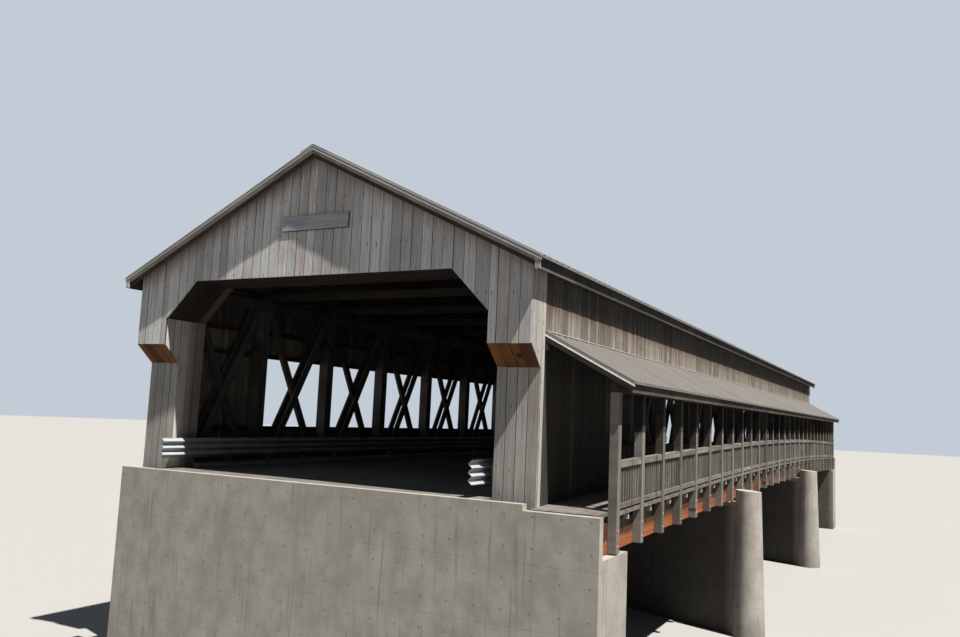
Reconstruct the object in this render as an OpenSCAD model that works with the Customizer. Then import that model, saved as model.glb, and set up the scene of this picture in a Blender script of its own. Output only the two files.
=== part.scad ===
// Timber covered road bridge with a roofed walkway along its right side, as a half size model.
// X runs to the right across the bridge, Y along it, and Z up from the foot of the piers.
// The near gable's boards start at y = 0, and x = 0 is the middle of the road.
// Heights called "over the road" are counted from the road's surface.

/* [Layout] */
// Number of post bays along the walkway, an even number
bays = 28; // [12:2:36]
// Distance from one walkway post to the next
bay = 820; // [700:10:900]
// Distance from a gable's face to the middle of the first walkway post
end_inset = 480; // [460:10:560]
// Width of a portal leg, from the opening to the outside of the wall boards
leg_w = 500; // [460:10:700]
// Height of the road above the foot of the piers
road_z = 2400; // [1600:50:3600]
// Height of the side walls over the road
wall_h = 2448; // [2444:2:2700]

/* [Foundations] */
// Angle between the piers and a line square across the bridge, in degrees
pier_skew = 22.3; // [0:0.1:26]
// Thickness of a pier wall
pier_t = 300; // [220:10:360]
// Diameter of the round pier ends at their top
nose_d = 390; // [370:10:460]
// How much wider a pier end gets for each metre down
nose_batter = 55; // [0:1:80]
// Gap between the pier ends and the side of the bridge
nose_gap = 14; // [6:1:40]
// How far the pier ends reach up beside the beams, over the beams' foot
nose_rise = 165; // [100:5:200]
// Outward slope of the pier ends' tops, in degrees
nose_slope = 3.5; // [0:0.5:8]
// Height of the blocks under the walkway's stringers
pad_h = 30; // [10:1:50]
// Length of these blocks along the bridge
pad_l = 120; // [80:5:200]
// How far an abutment stands out in front of the gable's face
abutment_out = 60; // [40:10:120]
// How far an abutment reaches under the bridge from the gable's face
abutment_l = 800; // [740:10:1200]
// Thickness of the abutment's wall behind the beam ends
back_wall_t = 100; // [60:10:150]

/* [Road] */
// Number of road girders
girder_count = 5; // [3:1:7]
// Width of a road girder
girder_w = 110; // [80:5:160]
// Height of a road girder
girder_h = 320; // [260:10:400]
// Thickness of the road deck
deck_t = 70; // [50:5:100]
// Height of the kerbs over the road
kerb_h = 50; // [30:5:80]
// How far a guard rail's face stands inside the opening's side
rail_inset = 150; // [110:5:200]
// Height of the guard rail's top over the road
rail_top = 390; // [360:5:450]
// Height of the three wave guard rail profile
rail_h = 254; // [220:2:280]
// Depth of the waves of the guard rail
rail_d = 42; // [30:1:60]
// Thickness of the guard rail's steel
rail_t = 5; // [3:0.5:8]
// Width of a guard rail post and its block
rail_post_w = 80; // [50:5:120]

/* [Trusses] */
// Width of the truss timbers across the bridge
truss_w = 180; // [160:5:240]
// Width of a truss post along the bridge
truss_post_w = 160; // [120:5:200]
// Height of the bottom chord
low_chord_h = 240; // [180:10:280]
// Height of the top chord
top_chord_h = 150; // [120:10:180]
// Width of a brace, seen from the side
brace_w = 110; // [80:5:150]
// Thickness of each plank of the paired main braces
brace_t = 45; // [30:1:55]
// Thickness of the counter brace between them
counter_t = 60; // [40:1:66]

/* [Walls] */
// Thickness of the wall boards
board_t = 24; // [16:1:30]
// Depth of the nailing rails between the trusses and the boards
girt_d = 86; // [70:2:100]
// Height of a nailing rail
girt_h = 60; // [40:5:90]
// Height of the low walls over the road
low_wall_h = 540; // [400:10:700]
// Underside of the upper walls and of the gable's sides, over the road
upper_z = 1590; // [1450:10:1700]
// How far the wall boards reach down below the road's surface
skirt_drop = 300; // [150:10:360]
// Number of walkway bays that are closed with boards at each end of the left wall
left_closed_bays = 2; // [2:1:5]
// Number of walkway bays that are closed with boards at each end of the right wall
right_closed_bays = 3; // [2:1:5]

/* [Portal] */
// Width of the opening in each gable
opening_w = 4700; // [4560:20:4760]
// Height of the opening over the road
opening_h = 2400; // [2380:5:2420]
// Size of the slanted upper corners of the opening
corner_cut = 470; // [300:10:600]
// How far the gable face stands out in front of the legs
corbel_d = 262; // [180:2:300]
// Height of the slanted soffit under the gable face
corbel_h = 230; // [160:5:300]
// Depth of the legs and of the lined opening, from the gable face to their back
leg_back = 680; // [600:10:720]
// Thickness of the opening's lining
lining_t = 30; // [20:1:40]
// Width of the bare sign board
sign_w = 980; // [600:10:1600]
// Height of the bare sign board
sign_h = 180; // [150:2:300]
// Thickness of the sign board
sign_t = 16; // [8:1:24]
// How far the sign board's middle is to the left of the bridge's middle
sign_left = 0; // [-200:10:200]
// Height of the sign board's middle over the road
sign_z = 3040; // [2700:10:3200]

/* [Main roof] */
// Slope of the main roof, in degrees
roof_pitch = 26.1; // [22:0.1:32]
// Overhang of the main roof beyond the side walls
eave_over = 154; // [120:2:240]
// Overhang of the main roof beyond the gables
gable_over = 150; // [120:5:240]
// Depth of a rafter
rafter_d = 60; // [45:1:80]
// Thickness of a rafter
rafter_t = 40; // [30:1:50]
// Thickness of the roof boards with their metal sheet
sheet_t = 16; // [10:1:24]
// Distance between the roof sheet's ribs
rib_pitch = 164; // [120:4:240]
// Height of the ribs
rib_h = 12; // [6:1:18]
// Width of a rib at its foot
rib_w = 34; // [20:1:50]
// Height of the fascia boards at the eaves
fascia_h = 125; // [80:5:160]
// Thickness of the fascia boards
fascia_t = 24; // [16:1:30]
// Height of the upper rake board
rake_h = 80; // [60:5:110]
// How far the lower rake board shows under the upper one
rake_step = 60; // [30:5:90]
// Height of the tie beams
tie_h = 100; // [80:5:110]
// Thickness of a tie beam
tie_t = 100; // [60:5:140]

/* [Walkway] */
// Distance from the wall boards to the outer face of the walkway posts
walk_w = 800; // [700:10:950]
// Side of a square walkway post
post_w = 95; // [70:5:120]
// Rise of the walkway in the middle of the bridge
walk_rise = 171; // [0:1:220]
// How far the walkway's surface lies under the road's surface at the ends
walk_drop = 62; // [50:2:100]
// Thickness of the walkway's planks
plank_t = 40; // [25:1:50]
// Height of a walkway joist
joist_h = 70; // [50:2:90]
// Thickness of a walkway joist
joist_t = 36; // [25:1:50]
// Height of the walkway's laminated stringers
stringer_h = 293; // [200:1:320]
// Width of a stringer
stringer_w = 100; // [70:5:130]
// Height of the railing's top over the walkway
railing_h = 497; // [420:1:560]
// Number of balusters in each bay
baluster_count = 9; // [6:1:14]
// Side of a square baluster
baluster_w = 20; // [12:1:26]
// Height of the railing's top board
top_board_h = 68; // [50:2:90]
// Thickness of the railing's boards
rail_board_t = 22; // [14:1:26]
// Thickness of the flat handrail cap
cap_t = 20; // [14:1:30]
// Width of the flat handrail cap
cap_w = 76; // [60:2:90]
// Height of the bottom board
foot_board_h = 58; // [40:2:70]
// Gap from the walkway's surface to the bottom board
foot_gap = 22; // [10:1:40]

/* [Walkway roof] */
// Height of the walkway roof's upper edge at the wall, over the road
walk_roof_z = 1750; // [1700:5:1900]
// Slope of the walkway roof, in degrees
walk_pitch = 27.6; // [20:0.1:30]
// Overhang of the walkway roof beyond its posts
walk_eave_over = 174; // [120:2:220]
// Distance from a gable's face to the end of the walkway roof
walk_roof_inset = 362; // [300:2:380]
// Height of the beam on the walkway posts
eave_beam_h = 110; // [80:5:140]
// Height of the walkway roof's fascia
walk_fascia_h = 100; // [70:5:120]
// Width of the ledger that holds the rafters at the wall
ledger_w = 40; // [30:1:60]
// Height of the ledger
ledger_h = 90; // [60:5:110]

/* [Hidden] */

// Colours of the plain model
concrete_c = [0.62, 0.60, 0.56];
asphalt_c = [0.35, 0.35, 0.35];
steel_c = [0.62, 0.65, 0.68];
glulam_c = [0.78, 0.42, 0.20];
timber_c = [0.42, 0.38, 0.34];
board_c = [0.56, 0.53, 0.50];
soffit_c = [0.52, 0.33, 0.22];
roof_c = [0.58, 0.56, 0.53];
trim_c = [0.30, 0.28, 0.26];
rail_c = [0.60, 0.56, 0.50];

// Lengthwise places
bridge_l = 2 * end_inset + bays * bay;
mid_y = bridge_l / 2;
frames = [for (i = [0 : bays]) end_inset + i * bay];
stations = concat([0], frames, [bridge_l]);
truss_frames = [for (i = [2 : 2 : bays - 2]) end_inset + i * bay];
span = bridge_l / 3;
left_closed_y = end_inset + left_closed_bays * bay;
right_closed_y = end_inset + right_closed_bays * bay;
back_y = back_wall_t - abutment_out;
leg_front = corbel_d;
leg_joint = 5;

// Sideways places
open_x = opening_w / 2;
wall_x = open_x + leg_w;
board_x = wall_x - board_t;
truss_out_x = board_x - girt_d;
truss_in_x = truss_out_x - truss_w;
rail_x = open_x - rail_inset;
post_out_x = wall_x + walk_w;
post_in_x = post_out_x - post_w;
kerb_back = 40;
spacer_d = 70;

// Levels
seat_z = road_z - deck_t - girder_h;
chord_top_z = seat_z + low_chord_h;
wall_top_z = road_z + wall_h;
top_chord_z = wall_top_z - top_chord_h;
corner_z = road_z + opening_h - corner_cut;
gable_foot_z = road_z + upper_z;
walk_z = road_z - walk_drop;
joist_top = walk_z - plank_t;
stringer_top = joist_top - joist_h;
stringer_foot = stringer_top - stringer_h;

// The walkway's rise at a place along the bridge, straight from frame to frame
function arch(y) = walk_rise * (1 - pow((y - mid_y) / mid_y, 2));
rise_table = [for (s = stations) [s, arch(s)]];
function lift(y) = lookup(y, rise_table);

// Main roof, with heights in the plane of a cross section
roof_tan = tan(roof_pitch);
apex_z = wall_top_z + wall_x * roof_tan;
rafter_v = rafter_d / cos(roof_pitch);
tip_x = wall_x + eave_over;
function under_z(x) = apex_z - abs(x) * roof_tan;
function sheet_z(x) = under_z(x) + rafter_v;
// A point at a distance down the slope from the ridge and at a height over the rafters' underside
function slope_point(s, n) = [s * cos(roof_pitch) + n * sin(roof_pitch),
                              apex_z - s * sin(roof_pitch) + n * cos(roof_pitch)];
tail_gap = 20;
fascia_x = tip_x - tail_gap - fascia_t;

// Walkway roof
walk_tan = tan(walk_pitch);
walk_rafter_v = rafter_d / cos(walk_pitch);
walk_sheet_v = sheet_t / cos(walk_pitch);
walk_tip_x = post_out_x + walk_eave_over;
walk_fascia_x = walk_tip_x - tail_gap - fascia_t;
function walk_top_z(x) = road_z + walk_roof_z - (x - wall_x) * walk_tan;
function walk_sheet_z(x) = walk_top_z(x) - walk_sheet_v;
function walk_under_z(x) = walk_sheet_z(x) - walk_rafter_v;
post_top_z = walk_under_z(post_out_x) - eave_beam_h;

// A cross section outline made into a slab that starts at y0
module across(y0, t) {
    translate([0, y0 + t, 0])
        rotate([90, 0, 0])
            linear_extrude(t)
                children();
}

// A side view outline, with y to the right, made into a slab that starts at x0
module along(x0, t) {
    translate([x0, 0, 0])
        rotate([90, 0, 90])
            linear_extrude(t)
                children();
}

// A box between two corners
module block(a, b) {
    translate(a)
        cube(b - a);
}

// The children and their mirror image on the other side of the road
module both_sides() {
    children();
    mirror([1, 0, 0])
        children();
}

// The children and their mirror image at the far end
module both_ends() {
    children();
    translate([0, bridge_l, 0])
        mirror([0, 1, 0])
            children();
}

// Side view of a band that follows the walkway's rise
module rising_band(y0, y1, z0, z1) {
    ys = concat([y0], [for (s = stations) if (s > y0 && s < y1) s], [y1]);
    polygon(concat([for (y = ys) [y, z0 + lift(y)]],
                   [for (i = [len(ys) - 1 : -1 : 0]) [ys[i], z1 + lift(ys[i])]]));
}

// Foundations

module abutment() {
    walk_seat = stringer_foot + lift(back_y);
    front_y = -abutment_out;
    color(concrete_c) {
        difference() {
            block([-wall_x, front_y, 0], [post_out_x, abutment_l, road_z]);
            block([-wall_x - 1, back_y, seat_z], [wall_x, abutment_l + 1, road_z + 1]);
            block([wall_x - 1, back_y, walk_seat], [post_out_x + 1, abutment_l + 1, road_z + 1]);
            block([wall_x, front_y - 1, walk_z], [post_out_x + 1, back_y + 1, road_z + 1]);
        }
    }
}

module near_abutment() {
    abutment();
}

module far_abutment() {
    translate([0, bridge_l, 0])
        mirror([0, 1, 0])
            abutment();
}

// A round pier end with battered sides and a top that slopes outwards
module pier_end(x, y, top_z, side) {
    foot_d = nose_d + nose_batter * top_z / 1000;
    cut_z = top_z + nose_d * sin(nose_slope);
    cut_d = nose_d - nose_batter * (cut_z - top_z) / 1000;
    difference() {
        translate([x, y, 0])
            cylinder(h = cut_z, d1 = foot_d, d2 = cut_d, $fn = 64);
        translate([x, y, top_z])
            rotate([0, side * nose_slope, 0])
                translate([-nose_d, -nose_d, 0])
                    cube(2 * nose_d);
    }
}

// A wall that crosses the bridge at a slant under all its beams, with a round end on each side
module pier(place) {
    left_x = -wall_x - nose_gap - nose_d / 2;
    right_x = post_out_x + nose_gap + nose_d / 2;
    slant = tan(pier_skew);
    half = pier_t / 2 / cos(pier_skew);
    stringer_xs = [wall_x, post_in_x - stringer_w];
    beam_feet = [for (x = stringer_xs) let (y = place - (x + stringer_w / 2) * slant)
        stringer_foot + min(lift(y - pad_l / 2), lift(y + pad_l / 2))];
    walk_seat = min(beam_feet) - pad_h;
    high_z = max(seat_z, walk_seat) + 5;
    color(concrete_c)
        translate([0, place, 0]) {
            difference() {
                linear_extrude(high_z)
                    polygon([[left_x, -left_x * slant - half], [right_x, -right_x * slant - half],
                             [right_x, -right_x * slant + half], [left_x, -left_x * slant + half]]);
                block([left_x - nose_d, -span, seat_z], [wall_x, span, high_z + 1]);
                block([wall_x - 1, -span, walk_seat], [right_x + nose_d, span, high_z + 1]);
            }
            for (i = [0, 1]) {
                y = -(stringer_xs[i] + stringer_w / 2) * slant;
                block([stringer_xs[i], y - pad_l / 2, walk_seat - 1],
                      [stringer_xs[i] + stringer_w, y + pad_l / 2, beam_feet[i]]);
            }
            pier_end(right_x, -right_x * slant, max(beam_feet) + nose_rise, 1);
            pier_end(left_x, -left_x * slant, seat_z + nose_rise, -1);
        }
}

module near_pier() {
    pier(span);
}

module far_pier() {
    pier(2 * span);
}

// Road

module road_girders() {
    reach = truss_in_x - girder_w;
    color(glulam_c)
        for (i = [0 : girder_count - 1]) {
            x = -reach + 2 * reach * (i + 0.5) / girder_count;
            block([x - girder_w / 2, back_y, seat_z],
                  [x + girder_w / 2, bridge_l - back_y, seat_z + girder_h]);
        }
}

// The deck is cut back round the legs of the portals, with a joint all round them
module road_deck() {
    leg_end = leg_back + leg_joint;
    inner_x = open_x - leg_joint;
    color(asphalt_c)
        translate([0, 0, road_z - deck_t])
            linear_extrude(deck_t)
                polygon([
                    [-inner_x, back_y], [inner_x, back_y],
                    [inner_x, leg_end], [truss_in_x, leg_end],
                    [truss_in_x, bridge_l - leg_end], [inner_x, bridge_l - leg_end],
                    [inner_x, bridge_l - back_y], [-inner_x, bridge_l - back_y],
                    [-inner_x, bridge_l - leg_end], [-truss_in_x, bridge_l - leg_end],
                    [-truss_in_x, leg_end], [-inner_x, leg_end]
                ]);
}

module kerbs() {
    color(concrete_c)
        both_sides()
            block([rail_x + rail_d + kerb_back, leg_back + leg_joint, road_z],
                  [truss_in_x, bridge_l - leg_back - leg_joint, road_z + kerb_h]);
}

// Three wave steel rail: the waves are one cosine curve with flat edges
rail_steps = 30;
function rail_wave(u) = rail_d * 0.5 * (1 - cos(360 * 3 * u));
module guard_rail_outline() {
    foot = road_z + rail_top - rail_h;
    us = [for (i = [0 : rail_steps]) i / rail_steps];
    polygon(concat(
        [for (u = us) [rail_x + rail_d - rail_t - rail_wave(u) * (1 - rail_t / rail_d), foot + u * rail_h]],
        [for (i = [rail_steps : -1 : 0])
            [rail_x + rail_d - rail_wave(us[i]) * (1 - rail_t / rail_d), foot + us[i] * rail_h]]
    ));
}

module guard_rails() {
    color(steel_c)
        both_sides()
            across(0, bridge_l)
                guard_rail_outline();
}

module guard_rail_posts() {
    back_x = rail_x + rail_d;
    post_x = back_x + spacer_d;
    low = road_z + rail_top - rail_h + 20;
    high = road_z + rail_top - 20;
    color(timber_c)
        both_sides() {
            for (i = [1 : bays - 1]) {
                y = frames[i];
                block([back_x, y - rail_post_w / 2, low], [post_x + rail_post_w, y + rail_post_w / 2, high]);
                block([post_x, y - rail_post_w / 2, road_z + kerb_h],
                      [post_x + rail_post_w, y + rail_post_w / 2, high + 10]);
            }
            both_ends()
                block([back_x, (leg_front + leg_back - rail_post_w) / 2, low],
                      [open_x, (leg_front + leg_back + rail_post_w) / 2, high]);
        }
}

// Trusses, drawn on the right side

module truss_chords() {
    block([truss_in_x, leg_back, seat_z], [truss_out_x, bridge_l - leg_back, chord_top_z]);
    block([truss_in_x, board_t, top_chord_z], [truss_out_x, bridge_l - board_t, wall_top_z]);
}

module truss_posts() {
    for (y = truss_frames) {
        block([truss_in_x, y - truss_post_w / 2, chord_top_z],
              [truss_out_x, y + truss_post_w / 2, top_chord_z]);
    }
}

// Side view of a brace that rises from one bay corner to the other
module brace_outline(y_low, y_high) {
    run = y_high - y_low;
    side = run > 0 ? 1 : -1;
    height = top_chord_z - chord_top_z;
    slant = atan(height / abs(run));
    flat_w = side * brace_w / sin(slant);
    polygon([[y_low, chord_top_z], [y_low + flat_w, chord_top_z],
             [y_high, top_chord_z], [y_high - flat_w, top_chord_z]]);
}

// Main braces are pairs that rise towards the middle, and the counter brace passes between them
module truss_braces() {
    mid_x = (truss_in_x + truss_out_x) / 2;
    starts = concat([leg_back], [for (y = truss_frames) y + truss_post_w / 2]);
    ends = concat([for (y = truss_frames) y - truss_post_w / 2], [bridge_l - leg_back]);
    for (i = [0 : len(starts) - 1]) {
        a = starts[i];
        b = ends[i];
        rises = (a + b) / 2 < mid_y;
        for (x = [truss_in_x, truss_out_x - brace_t])
            along(x, brace_t)
                brace_outline(rises ? a : b, rises ? b : a);
        along(mid_x - counter_t / 2, counter_t)
            brace_outline(rises ? b : a, rises ? a : b);
    }
}

module left_truss_chords() {
    color(timber_c)
        mirror([1, 0, 0])
            truss_chords();
}

module left_truss_posts() {
    color(timber_c)
        mirror([1, 0, 0])
            truss_posts();
}

module left_truss_braces() {
    color(timber_c)
        mirror([1, 0, 0])
            truss_braces();
}

module right_truss_chords() {
    color(timber_c)
        truss_chords();
}

module right_truss_posts() {
    color(timber_c)
        truss_posts();
}

module right_truss_braces() {
    color(timber_c)
        truss_braces();
}

// Walls

// Nailing rails along the trusses, and the wall plates with their slanted rafter seats
module wall_girts() {
    levels = [road_z - skirt_drop + 40, road_z + low_wall_h - girt_h, gable_foot_z, gable_foot_z + 360];
    plate_foot = wall_top_z - 100;
    color(timber_c)
        both_sides() {
            for (z = levels) {
                block([truss_out_x, leg_back, z], [board_x, bridge_l - leg_back, z + girt_h]);
            }
            across(board_t, bridge_l - 2 * board_t)
                polygon([[truss_out_x, plate_foot], [board_x, plate_foot],
                         [board_x, under_z(board_x)], [truss_out_x, under_z(truss_out_x)]]);
        }
}

module low_wall(closed_y) {
    color(board_c)
        block([board_x, closed_y, road_z - skirt_drop], [wall_x, bridge_l - closed_y, road_z + low_wall_h]);
}

module upper_wall() {
    color(board_c)
        block([board_x, board_t, gable_foot_z], [wall_x, bridge_l - board_t, wall_top_z]);
}

module left_low_wall() {
    mirror([1, 0, 0])
        low_wall(left_closed_y);
}

module left_upper_wall() {
    mirror([1, 0, 0])
        upper_wall();
}

module right_low_wall() {
    low_wall(right_closed_y);
}

module right_upper_wall() {
    upper_wall();
}

module end_wall_panels() {
    color(board_c)
        both_ends() {
            block([board_x, leg_front, road_z - skirt_drop], [wall_x, right_closed_y, gable_foot_z]);
            block([-wall_x, leg_front, road_z - skirt_drop], [-board_x, left_closed_y, gable_foot_z]);
        }
}

// Portals

module portal_legs() {
    color(board_c)
        both_ends()
            both_sides()
                across(leg_front, leg_back - leg_front)
                    polygon([[open_x, seat_z], [board_x, seat_z],
                             [board_x, top_chord_z], [open_x + lining_t, top_chord_z],
                             [open_x + lining_t, gable_foot_z], [open_x, gable_foot_z]]);
}

// Outline of the opening above the gable's foot, grown outwards by a thickness
module opening_outline(grow, foot) {
    lean = grow * (sqrt(2) - 1);
    side_x = open_x + grow;
    top_x = open_x - corner_cut + lean;
    top_z = road_z + opening_h + grow;
    polygon([[-side_x, foot], [side_x, foot], [side_x, corner_z + lean], [top_x, top_z],
             [-top_x, top_z], [-side_x, corner_z + lean]]);
}

module gable() {
    color(board_c)
        across(0, board_t)
            difference() {
                polygon([[-wall_x, gable_foot_z], [wall_x, gable_foot_z], [wall_x, sheet_z(wall_x)],
                         [0, sheet_z(0)], [-wall_x, sheet_z(wall_x)]]);
                opening_outline(0, gable_foot_z - 1);
            }
}

module near_gable() {
    gable();
}

module far_gable() {
    translate([0, bridge_l, 0])
        mirror([0, 1, 0])
            gable();
}

module portal_linings() {
    color(soffit_c)
        both_ends()
            across(board_t, leg_back - board_t)
                difference() {
                    opening_outline(lining_t, gable_foot_z);
                    opening_outline(0, gable_foot_z - 1);
                }
}

module corbels() {
    color(soffit_c)
        both_ends()
            both_sides()
                along(open_x, wall_x - open_x)
                    polygon([[0, gable_foot_z], [leg_front, gable_foot_z - corbel_h],
                             [leg_front, gable_foot_z]]);
}

module sign_board() {
    color(trim_c)
        translate([-sign_left - sign_w / 2, -sign_t, road_z + sign_z - sign_h / 2])
            cube([sign_w, sign_t, sign_h]);
}

// Main roof

module roof_beams() {
    ridge_top = sheet_z(rafter_t / 2);
    color(timber_c) {
        for (y = truss_frames) {
            block([-truss_in_x - 40, y - tie_t / 2, wall_top_z],
                  [truss_in_x + 40, y + tie_t / 2, wall_top_z + tie_h]);
        }
        block([-rafter_t / 2, board_t, ridge_top - 2 * rafter_d],
              [rafter_t / 2, bridge_l - board_t, ridge_top]);
    }
}

module rafters() {
    x0 = rafter_t / 2;
    color(timber_c)
        for (y = frames) {
            across(y - rafter_t / 2, rafter_t)
                polygon([[x0, under_z(x0)], [fascia_x, under_z(fascia_x)],
                         [fascia_x, sheet_z(fascia_x)], [x0, sheet_z(x0)]]);
        }
}

module left_rafters() {
    mirror([1, 0, 0])
        rafters();
}

module right_rafters() {
    rafters();
}

// Side view of a ribbed sheet that lies from y0 to y1, with its ribs spread evenly
module ribbed_sheet(y0, y1) {
    count = floor((y1 - y0) / rib_pitch);
    first = (y0 + y1 - count * rib_pitch) / 2;
    crown = rib_w * 0.5;
    top = [for (i = [0 : count]) let (y = first + i * rib_pitch)
        each (y - rib_w / 2 > y0 && y + rib_w / 2 < y1)
            ? [[y + rib_w / 2, sheet_t], [y + crown / 2, sheet_t + rib_h],
               [y - crown / 2, sheet_t + rib_h], [y - rib_w / 2, sheet_t]]
            : []];
    polygon(concat([[y0, 0], [y1, 0], [y1, sheet_t]],
                   [for (i = [len(top) / 4 - 1 : -1 : 0]) each [for (j = [0 : 3]) top[4 * i + j]]],
                   [[y0, sheet_t]]));
}

// The sheet starts where its underside meets the other slope's
module roof_sheet() {
    start = -rafter_d * tan(roof_pitch);
    end = (tip_x - (rafter_d + sheet_t) * sin(roof_pitch)) / cos(roof_pitch);
    color(roof_c)
        translate([0, 0, apex_z])
            rotate([0, roof_pitch, 0])
                translate([0, 0, rafter_d])
                    along(start, end - start)
                        ribbed_sheet(-gable_over, bridge_l + gable_over);
}

module left_roof() {
    mirror([1, 0, 0])
        roof_sheet();
}

module right_roof() {
    roof_sheet();
}

module ridge_cap() {
    n0 = rafter_d + sheet_t + rib_h;
    n1 = n0 + 8;
    w = 150;
    right = [slope_point(w, n0), slope_point(w, n1)];
    color(roof_c)
        across(-gable_over, bridge_l + 2 * gable_over)
            polygon([[0, apex_z + n0 / cos(roof_pitch)], right[0], right[1],
                     [0, apex_z + n1 / cos(roof_pitch)],
                     [-right[1][0], right[1][1]], [-right[0][0], right[0][1]]]);
}

module eave_fascias() {
    top = sheet_z(fascia_x + fascia_t);
    color(trim_c)
        both_sides()
            block([fascia_x, -gable_over + 2, top - fascia_h],
                  [fascia_x + fascia_t, bridge_l + gable_over - 2, top]);
}

// Rake boards in two steps under the roof's end, with a small joint at the ridge
module rake_boards() {
    x0 = 0.5;
    x1 = fascia_x - 1;
    upper_y = -gable_over + 8;
    color(trim_c)
        both_ends()
            both_sides() {
                across(upper_y, fascia_t)
                    polygon([[x0, sheet_z(x0) - rake_h], [x1, sheet_z(x1) - rake_h],
                             [x1, sheet_z(x1)], [x0, sheet_z(x0)]]);
                across(upper_y + fascia_t - 1, fascia_t)
                    polygon([[x0, sheet_z(x0) - rake_h - rake_step], [x1, sheet_z(x1) - rake_h - rake_step],
                             [x1, sheet_z(x1)], [x0, sheet_z(x0)]]);
            }
}

// Walkway

module walkway_stringers() {
    y0 = back_y + 5;
    color(glulam_c)
        for (x = [wall_x, post_in_x - stringer_w]) {
            along(x, stringer_w)
                rising_band(y0, bridge_l - y0, stringer_foot, stringer_top);
        }
}

// Joists under every post and in the middle of every bay, where their ends show
module walkway_joists() {
    color(rail_c) {
        for (y = frames) {
            along(wall_x, post_in_x - wall_x)
                rising_band(y - joist_t / 2, y + joist_t / 2, stringer_top, joist_top);
        }
        for (i = [0 : bays - 1]) {
            y = frames[i] + bay / 2;
            along(wall_x, post_in_x + 20 - wall_x)
                rising_band(y - joist_t / 2, y + joist_t / 2, stringer_top, joist_top);
        }
    }
}

module walkway_deck() {
    color(rail_c)
        along(wall_x, post_in_x - wall_x)
            rising_band(back_y, bridge_l - back_y, joist_top, walk_z);
}

// Plank ends between the posts
module walkway_edge_boards() {
    color(rail_c)
        for (i = [0 : bays - 1]) {
            along(post_in_x, post_w - 12)
                rising_band(frames[i] + post_w / 2, frames[i + 1] - post_w / 2, joist_top, walk_z);
        }
}

module walkway_posts() {
    color(rail_c)
        for (y = frames) {
            foot = stringer_foot + lift(y - post_w / 2);
            block([post_in_x, y - post_w / 2, foot], [post_out_x, y + post_w / 2, post_top_z]);
        }
}

// One railing panel between two posts: a flat cap, a top and a foot board, and square balusters
module railing_panel(y0, y1) {
    top = walk_z + railing_h;
    foot = walk_z + foot_gap;
    board_x0 = post_out_x - 10 - rail_board_t;
    cap_x = post_out_x - 10 - cap_w;
    step = (y1 - y0 + post_w) / (baluster_count + 1);
    along(cap_x, cap_w)
        rising_band(y0, y1, top - cap_t, top);
    along(board_x0, rail_board_t) {
        rising_band(y0, y1, top - cap_t - top_board_h, top - cap_t + 1);
        rising_band(y0, y1, foot, foot + foot_board_h);
    }
    along(board_x0 - baluster_w + 1, baluster_w) {
        for (i = [1 : baluster_count]) {
            y = y0 - post_w / 2 + i * step;
            rising_band(y - baluster_w / 2, y + baluster_w / 2, foot + 4, top - cap_t + 1);
        }
    }
}

module walkway_railing() {
    color(rail_c)
        for (i = [0 : bays - 1]) {
            railing_panel(frames[i] + post_w / 2, frames[i + 1] - post_w / 2);
        }
}

module walkway_beams() {
    y0 = walk_roof_inset + 2;
    ledger_top = walk_under_z(wall_x + ledger_w);
    color(timber_c) {
        block([post_in_x, frames[0] - post_w / 2, post_top_z],
              [post_out_x, frames[bays] + post_w / 2, post_top_z + eave_beam_h]);
        block([wall_x, y0, ledger_top - ledger_h], [wall_x + ledger_w, bridge_l - y0, ledger_top]);
    }
}

module walkway_rafters() {
    color(timber_c)
        for (y = frames) {
            across(y - rafter_t / 2, rafter_t)
                polygon([[wall_x, walk_under_z(wall_x)], [walk_fascia_x, walk_under_z(walk_fascia_x)],
                         [walk_fascia_x, walk_sheet_z(walk_fascia_x)], [wall_x, walk_sheet_z(wall_x)]]);
        }
}

module walkway_roof() {
    end = (walk_tip_x - wall_x - sheet_t * sin(walk_pitch)) / cos(walk_pitch);
    color(roof_c)
        translate([wall_x, 0, walk_sheet_z(wall_x)])
            rotate([0, walk_pitch, 0])
                along(0, end)
                    ribbed_sheet(walk_roof_inset, bridge_l - walk_roof_inset);
}

// Fascia, rake boards and the flashing that closes the roof against the wall
module walkway_trim() {
    top = walk_sheet_z(walk_fascia_x + fascia_t);
    rib_v = rib_h / cos(walk_pitch);
    flash_w = 46;
    flash_h = 40;
    x1 = walk_fascia_x - 1;
    color(trim_c) {
        block([walk_fascia_x, walk_roof_inset + 2, top - walk_fascia_h],
              [walk_fascia_x + fascia_t, bridge_l - walk_roof_inset - 2, top]);
        both_ends()
            across(walk_roof_inset + 4, fascia_t)
                polygon([[wall_x + ledger_w + 1, walk_sheet_z(wall_x + ledger_w + 1) - rake_h],
                         [x1, walk_sheet_z(x1) - rake_h],
                         [x1, walk_sheet_z(x1)],
                         [wall_x + ledger_w + 1, walk_sheet_z(wall_x + ledger_w + 1)]]);
        across(walk_roof_inset, bridge_l - 2 * walk_roof_inset)
            polygon([[wall_x, walk_top_z(wall_x) + rib_v],
                     [wall_x + flash_w, walk_top_z(wall_x + flash_w) + rib_v],
                     [wall_x + flash_w, walk_top_z(wall_x + flash_w) + rib_v + 6],
                     [wall_x + 6, walk_top_z(wall_x) + rib_v + 6],
                     [wall_x + 6, walk_top_z(wall_x) + rib_v + flash_h],
                     [wall_x, walk_top_z(wall_x) + rib_v + flash_h]]);
    }
}

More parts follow.
